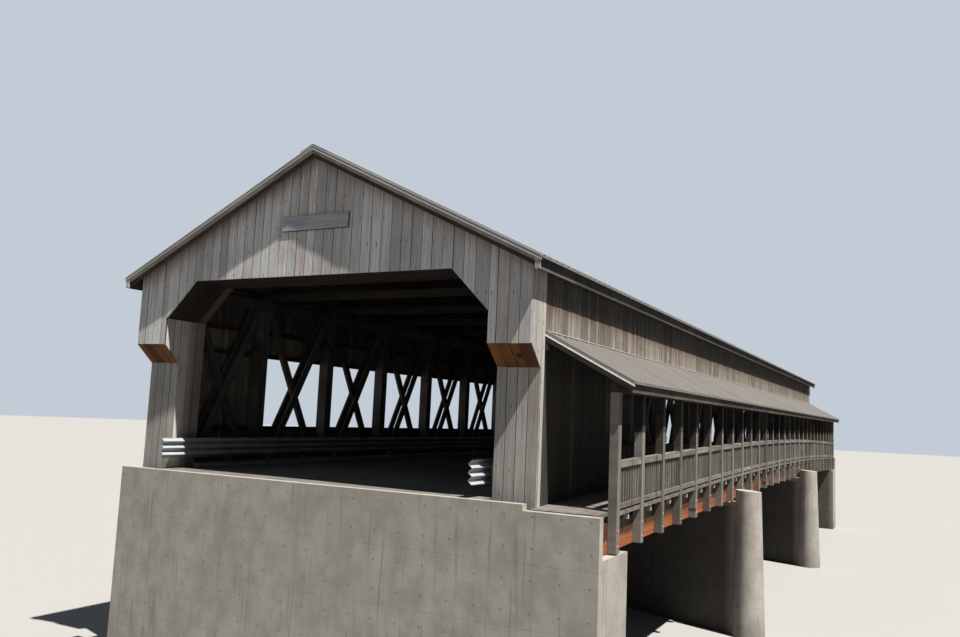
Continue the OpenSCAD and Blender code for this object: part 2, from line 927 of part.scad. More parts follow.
near_abutment();
near_pier();
far_pier();
far_abutment();
road_girders();
road_deck();
kerbs();
guard_rails();
guard_rail_posts();
left_truss_chords();
left_truss_posts();
left_truss_braces();
right_truss_chords();
right_truss_posts();
right_truss_braces();
wall_girts();
left_low_wall();
left_upper_wall();
right_low_wall();
right_upper_wall();
end_wall_panels();
portal_legs();
near_gable();
far_gable();
portal_linings();
corbels();
sign_board();
roof_beams();
left_rafters();
right_rafters();
left_roof();
right_roof();
ridge_cap();
eave_fascias();
rake_boards();
walkway_stringers();
walkway_joists();
walkway_deck();
walkway_edge_boards();
walkway_posts();
walkway_railing();
walkway_beams();
walkway_rafters();
walkway_roof();
walkway_trim();
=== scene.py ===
import math
import random

import bmesh
import bpy
from mathutils import Matrix, Vector


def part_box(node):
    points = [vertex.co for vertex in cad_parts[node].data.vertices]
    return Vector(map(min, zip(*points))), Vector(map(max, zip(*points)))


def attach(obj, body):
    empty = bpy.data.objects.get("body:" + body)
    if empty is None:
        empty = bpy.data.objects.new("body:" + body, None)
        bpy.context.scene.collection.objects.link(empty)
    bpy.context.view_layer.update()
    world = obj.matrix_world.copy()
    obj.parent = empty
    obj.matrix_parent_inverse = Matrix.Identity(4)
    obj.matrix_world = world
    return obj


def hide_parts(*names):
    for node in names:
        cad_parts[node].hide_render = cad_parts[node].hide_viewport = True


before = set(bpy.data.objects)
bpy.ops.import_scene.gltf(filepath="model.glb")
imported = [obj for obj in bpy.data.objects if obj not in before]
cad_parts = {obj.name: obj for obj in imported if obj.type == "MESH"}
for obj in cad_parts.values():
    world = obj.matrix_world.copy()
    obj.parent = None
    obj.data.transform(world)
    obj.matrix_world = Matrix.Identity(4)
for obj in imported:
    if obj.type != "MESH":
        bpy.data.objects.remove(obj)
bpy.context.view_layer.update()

# Places and sizes in metres, read from the frame where a box gives them
road_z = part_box("road_deck")[1].z
seat_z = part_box("road_girders")[0].z
bridge_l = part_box("guard_rails")[1].y
mid_y = bridge_l / 2
wall_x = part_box("near_gable")[1].x
board_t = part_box("near_gable")[1].y
board_x = wall_x - board_t
gable_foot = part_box("near_gable")[0].z
corbel_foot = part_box("corbels")[0].z
skirt_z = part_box("right_low_wall")[0].z
low_wall_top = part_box("right_low_wall")[1].z
wall_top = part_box("right_upper_wall")[1].z
right_closed_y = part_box("right_low_wall")[0].y
post_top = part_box("walkway_posts")[1].z
post_out_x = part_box("walkway_posts")[1].x
truss_in_x, truss_out_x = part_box("right_truss_chords")[0].x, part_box("right_truss_chords")[1].x

# Sizes that no box gives
open_x = 2.350
corner_cut = 0.470
opening_top = road_z + 2.400
leg_front = 0.262
leg_back = 0.680
lining_t = 0.030
bays = 28
end_inset = 0.480
post_w = 0.095
post_in_x = post_out_x - post_w
bay = (bridge_l - 2 * end_inset) / bays
frames = [end_inset + i * bay for i in range(bays + 1)]
stations = [0.0, *frames, bridge_l]
truss_frames = frames[2:-1:2]
truss_post_w = 0.160
# The left end panels reach to the far side of the first truss post, because no light passes beside it
left_closed_y = truss_frames[0] + truss_post_w / 2

# Roofs
roof_tan = math.tan(math.radians(26.1))
roof_cos = math.cos(math.radians(26.1))
walk_tan = math.tan(math.radians(27.6))
walk_cos = math.cos(math.radians(27.6))
rafter_d = 0.060
sheet_t = 0.016
apex_z = wall_top + wall_x * roof_tan
roof_y0, roof_y1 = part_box("right_roof")[0].y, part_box("right_roof")[1].y
walk_y0, walk_y1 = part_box("walkway_roof")[0].y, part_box("walkway_roof")[1].y
roof_tip_x = 3.004
walk_roof_z = road_z + 1.750
walk_tip_x = 3.824
rib_pitch = 0.164

# Walkway levels
walk_rise = 0.171
walk_z = road_z - 0.062
plank_t = 0.040
joist_h = 0.070
stringer_h = 0.293
stringer_foot = walk_z - plank_t - joist_h - stringer_h

# The camera stands where the photograph was taken, right of the near end of the bridge
EYE = Vector((6.326, -7.677, 3.242))
YAW = 0.4871
PITCH = 0.1156
ROLL = 0.0432
LENS = 31.43
SENSOR = 36.0
# Direction towards the main light, found from the shadows of the rakes and eaves
SUN = Vector((0.434, -0.145, 0.889))
# Direction towards the soft light from the front
FILL = Vector((-0.30, -0.80, 0.52))


def roof_under(x):
    """Height of the underside of the main roof's boards."""
    return apex_z + rafter_d / roof_cos - abs(x) * roof_tan


def arch(y):
    return walk_rise * (1 - ((y - mid_y) / mid_y) ** 2)


def lift(y):
    """How much higher the walkway is here than at its ends; it is straight from frame to frame."""
    for a, b in zip(stations, stations[1:]):
        if y <= b:
            part = (y - a) / (b - a)
            return arch(a) * (1 - part) + arch(b) * part
    return arch(bridge_l)


# Materials

def linear(code):
    """The linear colour of an sRGB hex code."""
    parts = [int(code[i:i + 2], 16) / 255 for i in (0, 2, 4)]
    return tuple(p / 12.92 if p <= 0.04045 else ((p + 0.055) / 1.055) ** 2.4 for p in parts) + (1.0,)


# The node trees made so far; new nodes go into the last one
trees = []


def add(kind, inputs=(), **settings):
    """Adds a shader node with its settings; an input is a value or another node's socket."""
    node = trees[-1].nodes.new("ShaderNode" + kind)
    for key, value in settings.items():
        setattr(node, key, value)
    for key, value in dict(inputs).items():
        if isinstance(value, bpy.types.NodeSocket):
            trees[-1].links.new(value, node.inputs[key])
        else:
            node.inputs[key].default_value = value
    return node


def new_material(name, constants):
    """A material with a Principled shader whose constant values are set on its own sockets."""
    material = bpy.data.materials.new(name)
    material.use_nodes = True
    trees.append(material.node_tree)
    for key, value in constants.items():
        trees[-1].nodes["Principled BSDF"].inputs[key].default_value = value
    return material


def finished(material, colour, height=None, strength=0.0, distance=0.0):
    """Gives a material its colour and, where a height is given, its relief."""
    tree = material.node_tree
    shader = tree.nodes["Principled BSDF"]
    tree.links.new(colour, shader.inputs["Base Color"])
    if height is not None:
        bump = add("Bump", {"Height": height, "Strength": strength, "Distance": distance})
        tree.links.new(bump.outputs["Normal"], shader.inputs["Normal"])
    return material


def maths(operation, a, b=0.0, c=0.0):
    return add("Math", {0: a, 1: b, 2: c}, operation=operation).outputs[0]


def times(product, *factors):
    """The product of several values."""
    for factor in factors:
        product = maths("MULTIPLY", product, factor)
    return product


def minus(a, b):
    return maths("SUBTRACT", a, b)


def shifted(value, by, share):
    """A value moved by a share of another one."""
    return maths("MULTIPLY_ADD", by, share, value)


def axes(where):
    """The X, Y and Z of a place or a direction."""
    return add("SeparateXYZ", {"Vector": where}).outputs[:]


def blend(factor, a, b, mode="MIX"):
    """Colour a turned towards colour b by a factor."""
    node = add("Mix", {0: factor, 6: a, 7: b}, data_type="RGBA", blend_type=mode, clamp_factor=True)
    return node.outputs[2]


def spread(value, low, high, most=1.0, least=0.0):
    """A value's range stretched to another one, with soft ends."""
    node = add("MapRange", {"Value": value, "From Min": low, "From Max": high,
                            "To Min": least, "To Max": most}, interpolation_type="SMOOTHSTEP")
    return node.outputs["Result"]


def coats(colour, *layers):
    """A colour under coats of others: each is the share that it covers and its hex code.

    The share can be a value with the range over which the coat comes in and how much it covers at most."""
    for value, *limits, code in layers:
        colour = blend(spread(value, *limits) if limits else value, colour, linear(code))
    return colour


def in_cells(where, sizes):
    """A place measured in cells of the given sizes in metres along the three axes."""
    return add("VectorMath", {0: where, 1: [1 / s for s in sizes]}, operation="MULTIPLY").outputs[0]


def noise(where, sizes, detail=3.0):
    inputs = {"Vector": in_cells(where, sizes), "Scale": 1.0, "Detail": detail, "Roughness": 0.6}
    return add("TexNoise", inputs).outputs["Fac"]


def object_place():
    return add("TexCoord").outputs["Object"]


def row_tone(place):
    """A tone of its own for each whole step of a value."""
    whole = maths("FLOOR", place)
    return add("TexWhiteNoise", {"W": whole}, noise_dimensions="1D").outputs["Value"]


def facing_up():
    """How much a face looks up, from minus one to one."""
    return axes(add("NewGeometry").outputs["Normal"])[2]


def underside():
    """One on faces that look down, and nothing on the others."""
    return spread(facing_up(), -0.3, -0.5)


KNOT = "2c2119"
JOINT_DARK = "17130f"


def knot_spots(along, share):
    """Small round knots, 10 to 20 mm long, in a share of the cells of a 0.30 by 0.09 m pattern."""
    inputs = {"Vector": in_cells(along, (0.30, 0.09, 1.0)), "Scale": 1.0, "Randomness": 1.0}
    spots = add("TexVoronoi", inputs, voronoi_dimensions="2D")
    chosen = add("SeparateColor", {"Color": spots.outputs["Color"]}).outputs[0]
    spot = spread(spots.outputs["Distance"], 0.11, 0.05, 0.75)
    return times(spot, maths("LESS_THAN", chosen, share))


def wood(name, colours, axis=None, warm_share=0.15, zones=(), tone_depth=0.35, knots=0.3,
         streak=0.045, streak_depth=0.55, roughness=0.86):
    """Sawn timber: long streaks, fine grain, knots, one tone for each board, and warm places.

    Its colours are a pale, a middle, a dark and a warm one. Without an axis the piece's own map gives
    the direction of the grain and each board has a tone."""
    pale, mid, dark, warm = colours.split()
    material = new_material(name, {"Roughness": roughness, "Specular IOR Level": 0.25})
    here = object_place()
    if axis is None:
        tone = add("Attribute", attribute_name="tone").outputs["Fac"]
        flat = add("UVMap", uv_map="grain").outputs["UV"]
        shift = add("CombineXYZ", {"Z": times(tone, 40.0)}).outputs[0]
        along = add("VectorMath", {0: flat, 1: shift}, operation="ADD").outputs[0]
        third = 1.0
    else:
        turn = (0, 0, -axis * math.pi / 2)
        along = add("Mapping", {"Vector": here, "Rotation": turn}).outputs["Vector"]
        tone = noise(here, (1.1, 1.1, 1.1), 1.0)
        third = None
    grain_l, grain_w = 0.16, 0.005
    patterns = ((0.9, streak, 3.0), (0.5, streak / 3, 4.0), (grain_l, grain_w, 4.0))
    long_streaks, narrow_streaks, grain = [
        noise(along, (length, width, third or width), detail) for length, width, detail in patterns]
    blotch = noise(here, (0.5, 0.5, 0.7), 4.0)
    mixed_tone = maths("FRACT", times(tone, 7.31))
    warm_tone = spread(mixed_tone, 0.88 - warm_share, 1.12 - warm_share)
    warmth = times(warm_tone, spread(blotch, 0.35, 0.7, 0.7, 0.1))
    joint = add("Attribute", attribute_name="joint").outputs["Fac"]
    base = coats(linear(mid), (long_streaks, 0.34, 0.66, pale),
                 *((zone(here, long_streaks), code) for zone, code in zones),
                 (tone, 0.15, 1.0, tone_depth, dark), (narrow_streaks, 0.52, 0.68, streak_depth, dark),
                 (warmth, warm), (blotch, 0.45, 0.8, 0.4, dark), (knot_spots(along, knots), KNOT),
                 (times(joint, 0.9), JOINT_DARK))
    shade = spread(grain, 0.3, 0.7, 1.10, 0.80)
    grey = add("CombineColor", {0: shade, 1: shade, 2: shade}).outputs[0]
    base = blend(1.0, base, grey, "MULTIPLY")
    return finished(material, base, maths("ADD", grain, narrow_streaks), 0.5, 0.0015)


def gable_shelter(here, streaks):
    """How much a gable board keeps its warm colour: most just under the slopes of the roof."""
    x, _, z = axes(here)
    line = shifted(z, maths("ABSOLUTE", x), roof_tan)
    depth = shifted(minus(roof_under(0), line), streaks, 0.5)
    return spread(depth, 0.60, 0.30, 0.55)


def painted_walkway_roof_shade(here, streaks):
    """Painted shade on a side wall board under the walkway's roof."""
    x, y, z = axes(here)
    return times(maths("GREATER_THAN", x, 0.0), spread(y, walk_y0, walk_y0 + 0.02),
                 spread(y, walk_y1, walk_y1 - 0.02), spread(z, walk_roof_z, walk_roof_z - 0.05, 0.9))


def below_eave(here):
    return minus(wall_top, axes(here)[2])


def painted_eave_shade(here, streaks):
    """Painted shade on a side wall board: most just under the eaves."""
    depth = shifted(below_eave(here), streaks, 0.5)
    return spread(depth, 0.78, 0.55, 0.85)


def rust_band(here, streaks):
    """Rusty streaks on some boards, where the weather begins to reach below the eaves."""
    depth = below_eave(here)
    return times(spread(depth, 0.28, 0.42), spread(depth, 0.72, 0.48),
                 spread(streaks, 0.50, 0.58, 0.75))


def bleached_streaks(here, streaks):
    """Pale yellowish streaks, where rain runs down the boards."""
    return times(spread(below_eave(here), 0.30, 0.50), spread(streaks, 0.46, 0.38, 0.75))


def from_end(here):
    """How far a place is from the nearer end of the bridge."""
    return minus(mid_y, maths("ABSOLUTE", minus(axes(here)[1], mid_y)))


def front_weathering_and_light(here, streaks):
    """How pale and grey the boards beside the opening are close to the gable: weathering where rain and sun
    reach them, together with painted light near the opening.
    """
    return spread(shifted(from_end(here), streaks, 0.25), 0.68, 0.44, 0.85)


def painted_post_shade(here, streaks):
    """Painted shade on the walkway's timber high up under its roof, which lowers the line where the key
    light ends on the posts; the post at each end has none.
    """
    height = shifted(axes(here)[2], streaks, 0.03)
    return times(spread(height, road_z + 0.74, road_z + 0.77, 0.9),
                 spread(from_end(here), 0.7, 0.9))


def painted_inner_post_shade(here, streaks):
    """Painted shade on the posts' inner faces high up, reaching lower from the third post on, but not at
    either end.
    """
    x, _, z = axes(here)
    away = from_end(here)
    height = shifted(z, spread(away, 1.5, 2.0), 0.22)
    return times(spread(x, post_out_x - 0.004, post_out_x - 0.010, 0.9),
                 spread(height, road_z + 0.66, road_z + 0.80), spread(away, 0.7, 0.9))


def painted_under_deck_shade(here):
    """Painted shade on concrete that lies under the deck."""
    x, _, z = axes(here)
    return times(spread(x, post_out_x + 0.05, post_in_x - 0.10),
                 spread(x, -wall_x, 0.30 - wall_x), spread(z, seat_z + 0.01, seat_z - 0.05),
                 spread(from_end(here), 0.3, 0.6, 0.75))


def concrete_material():
    """Cast concrete: pale and matt, with soft clouds, pores, dark runs, damp places and painted shade under
    the deck.

    The joints and the tie holes of its formwork show."""
    material = new_material("cast_concrete", {"Roughness": 0.9, "Specular IOR Level": 0.3})
    here = object_place()
    x, y, z = axes(here)
    cloud = noise(here, (0.22, 0.22, 0.30), 7.0)
    patch = noise(here, (1.1, 1.1, 0.9), 5.0)
    pores = noise(here, (0.011, 0.011, 0.011))
    runs = noise(here, (0.05, 0.05, 1.2), 5.0)
    panel_w, panel_h, tie_r, line_w = 1.22, 0.61, 0.014, 0.004
    level = maths("PINGPONG", z, panel_h / 2)
    upright = maths("PINGPONG", maths("ADD", x, y), panel_w / 2)
    line = maths("MAXIMUM", spread(level, line_w, 0.0), spread(upright, line_w, 0.0))
    beside = minus(maths("PINGPONG", upright, panel_w / 4), panel_w / 8)
    from_tie = add("CombineXYZ", {"X": beside, "Y": minus(level, panel_h / 4)}).outputs[0]
    away = add("VectorMath", {0: from_tie}, operation="LENGTH").outputs["Value"]
    tie = spread(away, tie_r, tie_r * 0.7)
    base = coats(linear("9f9a91"), (cloud, 0.3, 0.7, "b5b0a6"), (patch, 0.45, 0.75, 0.45, "98928a"),
                 (runs, 0.54, 0.72, 0.6, "817a70"), (shifted(z, runs, 0.6), 0.70, 0.35, 0.5, "77726a"),
                 (painted_under_deck_shade(here), "2b2926"), (times(line, 0.45), "6a645c"),
                 (times(tie, 0.45), "4f4a44"))
    return finished(material, base, minus(minus(pores, line), tie), 0.4, 0.002)


def plank_colour(here, across, width):
    """Sawn planks of one width that lie side by side along one axis."""
    place = maths("DIVIDE", axes(here)[across], width)
    off_middle = maths("ABSOLUTE", minus(maths("FRACT", place), 0.5))
    return coats(linear("3b342d"), (row_tone(place), "4c433a"),
                 (off_middle, 0.47, 0.5, 0.9, JOINT_DARK))


def road_material():
    """Worn asphalt: dark grey with pale stone grit; laid planks show from below."""
    material = new_material("worn_asphalt", {"Roughness": 0.93})
    here = object_place()
    grit = noise(here, (0.006, 0.006, 0.006), 2.0)
    cloud = noise(here, (0.8, 1.5, 0.8), 4.0)
    base = coats(linear("5f5c58"), (cloud, 0.3, 0.7, "7b7771"), (grit, 0.55, 0.7, 0.5, "a09b93"))
    base = blend(underside(), base, plank_colour(here, 1, 0.07))
    return finished(material, base, grit, 0.4, 0.002)


def galvanised_material():
    """Hot dipped galvanised steel: a soft grey sheen with faint spangle, paler on faces that look up as
    painted light and dust, darker on faces that look down as painted shade and grime.
    """
    material = new_material("galvanised_steel", {"Metallic": 0.55, "Roughness": 0.5})
    here = object_place()
    spangle = add("TexVoronoi", {"Vector": here, "Scale": 70.0}).outputs["Color"]
    cloud = noise(here, (0.3, 0.5, 0.3), 4.0)
    base = blend(0.07, coats(linear("a3abb3"), (cloud, 0.3, 0.7, "cdd3d8")), spangle)
    # Painted light with dust on faces that look up, painted shade with grime on faces that look down
    up = facing_up()
    base = coats(base, (up, 0.1, 0.6, 0.5, "eef1f3"), (up, 0.0, -0.5, 0.6, "4c5156"))
    return finished(material, base)


def rib_count(y0, y1):
    return math.floor((y1 - y0) / rib_pitch)


def first_rib(y0, y1):
    """Where the rows of ribs begin, so that they are centred on a roof's length."""
    return (y0 + y1 - rib_count(y0, y1) * rib_pitch) / 2


def rib_shadow_and_dirt(here):
    """A dark line along the shaded side of every rib of both roofs: painted shadow, and dirt that rain
    leaves.
    """
    x, y, z = axes(here)
    line_w, core_w, beside_rib = 0.015, 0.004, 0.010
    main_start, walk_start = first_rib(roof_y0, roof_y1), first_rib(walk_y0, walk_y1)
    on_walkway = maths("GREATER_THAN", x, roof_tip_x + 0.02)
    high = maths("LESS_THAN", z, walk_roof_z + 0.05)
    low_roof = times(high, maths("GREATER_THAN", x, 0.0))
    shift = times(maths("MAXIMUM", on_walkway, low_roof), walk_start - main_start)
    place = minus(minus(y, shift), main_start + beside_rib)
    return spread(maths("PINGPONG", place, rib_pitch / 6), line_w, core_w)


def roof_material(name, dull, faded, sheet=False):
    """Painted steel: a matt grey tan, faded in streaks down the slope, and darker along the ribs of a sheet
    as painted shadow and dirt.

    Boards show on the underside of a sheet."""
    material = new_material(name, {"Roughness": 0.68, "Specular IOR Level": 0.3})
    here = object_place()
    streaks = noise(here, (0.8, 0.09, 0.8), 5.0)
    cloud = noise(here, (1.5, 2.5, 1.5), 3.0)
    base = coats(linear(dull), (streaks, 0.3, 0.7, faded), (cloud, 0.4, 0.7, 0.25, dull))
    if sheet:
        # A painted shadow line, with dirt, beside each rib
        base = coats(base, (times(rib_shadow_and_dirt(here), 0.95), "2c2a28"))
        base = blend(underside(), base, plank_colour(here, 0, 0.075))
    return finished(material, base)


def glulam_material():
    """Laminated beams: orange oiled laminations, each with its own tone, greyer where water runs, with
    painted shade above a line a little over the stringers' foot.
    """
    material = new_material("oiled_glulam", {"Roughness": 0.6})
    here = object_place()
    _, y, z = axes(here)
    lamination = 0.019
    grain = noise(here, (0.016, 0.6, 0.008), 4.0)
    cloud = noise(here, (0.9, 0.5, 0.9), 4.0)
    along = maths("DIVIDE", minus(y, mid_y), mid_y)
    rise = times(minus(1.0, times(along, along)), walk_rise)
    over_foot = minus(minus(z, rise), stringer_foot)
    # The last coat is painted shade above a line a little over the stringers' foot
    base = coats(linear("964f20"), (row_tone(maths("DIVIDE", z, lamination)), "ad6a2e"),
                 (grain, 0.4, 0.75, 0.6, "6b3519"), (cloud, 0.48, 0.72, 0.35, "66503c"),
                 (shifted(over_foot, cloud, 0.10), 0.15, 0.21, 0.85, "3a2a20"))
    return finished(material, base, grain, 0.2, 0.001)


ROOF_TIMBER = "443e38 36312c 24201d 3d2f26"
RAIL_GREY = "928e88 77726c 524d47 6e5c4c"
# Zones of the side walls: pale streaks and rust, with painted shade under the eaves and under the walkway's
# roof
SIDE_ZONES = ((bleached_streaks, "d0c7af"), (painted_eave_shade, "413f3a"), (rust_band, "8e5c38"),
              (painted_walkway_roof_shade, "2b2926"))
MATERIALS = {
    "gable_boards": wood("weathered_gable_boards", "e2e1e0 cfcdcb 8f8b88 b89f90", tone_depth=0.5,
                         zones=((gable_shelter, "9a7560"),), warm_share=0.22, knots=0.16),
    "wall_boards": wood("weathered_wall_boards", "b5b1a6 74716b 34322f 776a57", tone_depth=0.5,
                        zones=SIDE_ZONES, streak=0.022, streak_depth=0.9),
    "leg_boards": wood("weathered_leg_boards", "b8b5b0 a29e99 736e68 977f70", knots=0.18),
    "corner_boards": wood("weathered_corner_boards", "c6c3be aeaba5 827e78 a8937e"),
    "inner_boards": wood("sheltered_boards", "9d948b 837a71 565049 86654f",
                         zones=((front_weathering_and_light, "dedad4"),)),
    "lining": wood("dark_lining_and_sign_shadow", "352e2b 2b2523 1d1917 3e2a23"),
    "corner_brace": wood("sheltered_corner_braces", "6e544a 594138 3b2c26 734b3b"),
    "inner_rake": wood("sheltered_rake_boards", "5d4a3e 4a3a31 2e2621 6b4229"),
    "soffit": wood("cedar_soffit_boards", "8b5a33 6b4328 33211a 9c6233", warm_share=0.5, tone_depth=0.9,
                   roughness=0.75),
    "sign": wood("grey_sign_board", "b9bbbf a5a7ac 808287 968d86", knots=0.0, tone_depth=0.0),
    "dark_trim": wood("shaded_trim_boards", "57554f 45433f 302e2b 4b4138"),
    "rake": wood("weathered_rake_boards", "aaa7a2 94918c 6e6a66 8d8074", knots=0.0),
    "tail_paint": wood("painted_joist_tails", "c6c3c0 b3b0ad 8f8c89 a79c92", knots=0.0),
    "pale_trim": wood("pale_trim_boards", "c3c0ba aeaba5 85827d 9e8d7e", knots=0.0),
    "timber": wood("old_sawn_timber", "67635d 504d48 2f2d2a 4f4136", tone_depth=0.6),
    "timber_x": wood("old_timber_across", ROOF_TIMBER, axis=0, knots=0.0),
    "timber_y": wood("old_timber_lengths", ROOF_TIMBER, axis=1, knots=0.0),
    # Posts and rails: painted shade high up under the walkway's roof, and on the posts' inner faces
    "post": wood("walkway_posts_wood", RAIL_GREY, tone_depth=0.5,
                 zones=((painted_post_shade, "292623"), (painted_inner_post_shade, "24211f"))),
    "rail": wood("weathered_walkway_wood", RAIL_GREY, tone_depth=0.5, zones=((painted_post_shade, "383431"),)),
    "concrete": concrete_material(),
    "road": road_material(),
    "steel": galvanised_material(),
    "roof": roof_material("painted_steel_sheet", "6d6a66", "817d78", sheet=True),
    "roof_ribs": roof_material("painted_steel_ribs", "75726d", "87837e"),
    "wall_metal": roof_material("painted_steel_flashing", "8b8883", "9b9893"),
    "flashing": roof_material("painted_steel_edges", "b7b4ae", "cbc8c2"),
    "flashing_face": roof_material("painted_steel_faces", "8a8883", "9c9994"),
    "rake_band": roof_material("painted_steel_bands", "a3a19e", "b4b2ae"),
    "lip": roof_material("painted_steel_lips", "efede8", "fbfaf6"),
    "dark_fitting_and_gap_shade": roof_material("dark_fitting_and_painted_gap_shade", "24211f", "2f2c29"),
    "glulam": glulam_material(),
}

# Nodes whose own shape stays, under their finish; all others are of timber that runs along the bridge
NODE_FINISH = {
    "concrete": ("near_abutment", "near_pier", "far_pier", "far_abutment", "kerbs"),
    "glulam": ("road_girders", "walkway_stringers"),
    "road": ("road_deck",),
    "steel": ("guard_rails",),
    "timber_x": ("roof_beams", "left_rafters", "right_rafters", "walkway_rafters"),
    "roof": ("left_roof", "right_roof", "ridge_cap", "walkway_roof"),
}


def finish_nodes():
    finish_of = {name: finish for finish, names in NODE_FINISH.items() for name in names}
    for name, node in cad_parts.items():
        node.data.materials.clear()
        node.data.materials.append(MATERIALS[finish_of.get(name, "timber_y")])


# Ways of making pieces

def in_scene(name, data):
    """A new object of the scene."""
    made = bpy.data.objects.new(name, data)
    bpy.context.scene.collection.objects.link(made)
    return made


def as_mesh(name, bm):
    mesh = bpy.data.meshes.new(name)
    bm.to_mesh(mesh)
    bm.free()
    return mesh


def as_piece(name, bm, material, slot, *replaced):
    """Makes the mesh a piece of the bridge that rides on its one body."""
    piece = in_scene(name, as_mesh(name, bm))
    piece.data.materials.append(MATERIALS[material])
    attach(piece, "root")
    if replaced:
        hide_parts(*replaced)


def set_tone(bm, draw, key=None):
    """Gives each separate board of a mesh its own tone, or the same one to boards with the same key."""
    layer = bm.faces.layers.float.new("tone")
    known = {}
    seen = set()
    for start in bm.faces:
        if start in seen:
            continue
        seen.add(start)
        island = [start]
        for face in island:
            for edge in face.edges:
                fresh = [other for other in edge.link_faces if other not in seen]
                seen.update(fresh)
                island.extend(fresh)
        value = draw.random()
        if key:
            value = known.setdefault(key(start.calc_center_median()), value)
        for face in island:
            face[layer] = value


def set_grain(bm, along):
    """Writes a map in metres with U along the grain, which runs along a direction of the mesh."""
    along = Vector(along).normalized()
    across = along.orthogonal().normalized()
    depth = along.cross(across)
    layer = bm.loops.layers.uv.new("grain")
    for face in bm.faces:
        for loop in face.loops:
            here = loop.vert.co
            loop[layer].uv = (here.dot(along), here.dot(across) + here.dot(depth))


def merge(parts):
    """One mesh from several."""
    whole = parts[0]
    for part in parts[1:]:
        mesh = as_mesh("part", part)
        whole.from_mesh(mesh)
        bpy.data.meshes.remove(mesh)
    return whole


def soften(bm, edge):
    """Rounds all edges a little, in one flat step."""
    bmesh.ops.bevel(bm, geom=bm.edges[:], offset=edge, offset_type="OFFSET", affect="EDGES",
                    segments=1, profile=0.5, material=-1)


def boxes(pairs):
    """Boxes between pairs of corners."""
    bm = bmesh.new()
    for low, high in pairs:
        low, high = Vector(low), Vector(high)
        size = Matrix.Diagonal((*(high - low), 1.0))
        bmesh.ops.create_cube(bm, size=1, matrix=Matrix.Translation((low + high) / 2) @ size)
    return bm


def timbers(pairs, along, seed, edge=0.002, key=None):
    """Sawn timbers between pairs of corners, with the grain along a direction and one tone for each."""
    bm = boxes(pairs)
    if edge:
        soften(bm, edge)
    set_grain(bm, along)
    set_tone(bm, random.Random(seed), key)
    return bm


def flat_face(outline, level=0.0):
    """A mesh with one flat face over an outline in X and Y."""
    bm = bmesh.new()
    bm.faces.new([bm.verts.new((u, v, level)) for u, v in outline])
    return bm


def thicken(bm, thick):
    """Makes flat faces into slabs, upwards in Z."""
    grown = bmesh.ops.extrude_face_region(bm, geom=bm.faces[:])
    moved = [g for g in grown["geom"] if isinstance(g, bmesh.types.BMVert)]
    bmesh.ops.translate(bm, vec=(0, 0, thick), verts=moved)
    bmesh.ops.recalc_face_normals(bm, faces=bm.faces[:])
    return bm


def wall_place(origin, across, up=(0, 0, 1)):
    """Puts a wall whose boards stand side by side along one direction and reach up along another.

    It faces the way that the two directions, as a right hand's thumb and finger, make the middle finger."""
    u, v = Vector(across).normalized(), Vector(up).normalized()
    turn = Matrix((u, v, u.cross(v))).transposed().to_4x4()
    return Matrix.Translation(origin) @ turn


def span(outline):
    """Where an outline begins and ends across the boards."""
    across = [u for u, _ in outline]
    return min(across), max(across)


def upright_steps(outline):
    """The upright edges inside an outline, where it steps: their place across and both end heights."""
    low, high = span(outline)
    edges = zip(outline, outline[1:] + outline[:1])
    return [(a[0], a[1], b[1]) for a, b in edges if abs(a[0] - b[0]) < 1e-6 and low < a[0] < high]


def cut_flat(bm, faces, place, normal):
    """Cuts some faces of a flat mesh along a line."""
    parts = [*faces, *(e for f in faces for e in f.edges), *(v for f in faces for v in f.verts)]
    geometry = list(dict.fromkeys(parts))
    bmesh.ops.bisect_plane(bm, geom=geometry, dist=1e-5, plane_co=place, plane_no=normal)


# A tongue's place and thickness, as shares of the board's thickness, and how far board joints wander
TONGUE_BACK = 0.4
TONGUE_T = 0.2
JOINT_WANDER = 0.06


def joint_tongues(outline, cuts, thick, gap):
    """A thin dark tongue in each joint between two boards, so that no daylight passes through the wall."""
    bm = flat_face(outline, TONGUE_BACK * thick)
    for cut in cuts:
        for edge in (cut - gap, cut + gap):
            cut_flat(bm, bm.faces[:], (edge, 0, 0), (1, 0, 0))
    between = [f for f in bm.faces if all(abs(f.calc_center_median().x - cut) >= gap for cut in cuts)]
    bmesh.ops.delete(bm, geom=between, context="FACES")
    for u, *levels in upright_steps(outline):
        for level in levels:
            strip = [f for f in bm.faces if abs(f.calc_center_median().x - u) < gap]
            cut_flat(bm, strip, (0, level, 0), (0, 1, 0))
    widths = {f: max(v.co.x for v in f.verts) - min(v.co.x for v in f.verts) for f in bm.faces}
    one_sided = [f for f in bm.faces if widths[f] < 1.5 * gap]
    bmesh.ops.delete(bm, geom=one_sided, context="FACES")
    for face in bm.faces:
        middle = face.calc_center_bounds().y
        for vert in face.verts:
            vert.co.y += gap if vert.co.y < middle else -gap
    thicken(bm, TONGUE_T * thick)
    joint = bm.faces.layers.float.new("joint")
    for face in bm.faces:
        face[joint] = 1.0
    set_grain(bm, (0, 1, 0))
    set_tone(bm, random.Random(0))
    return bm


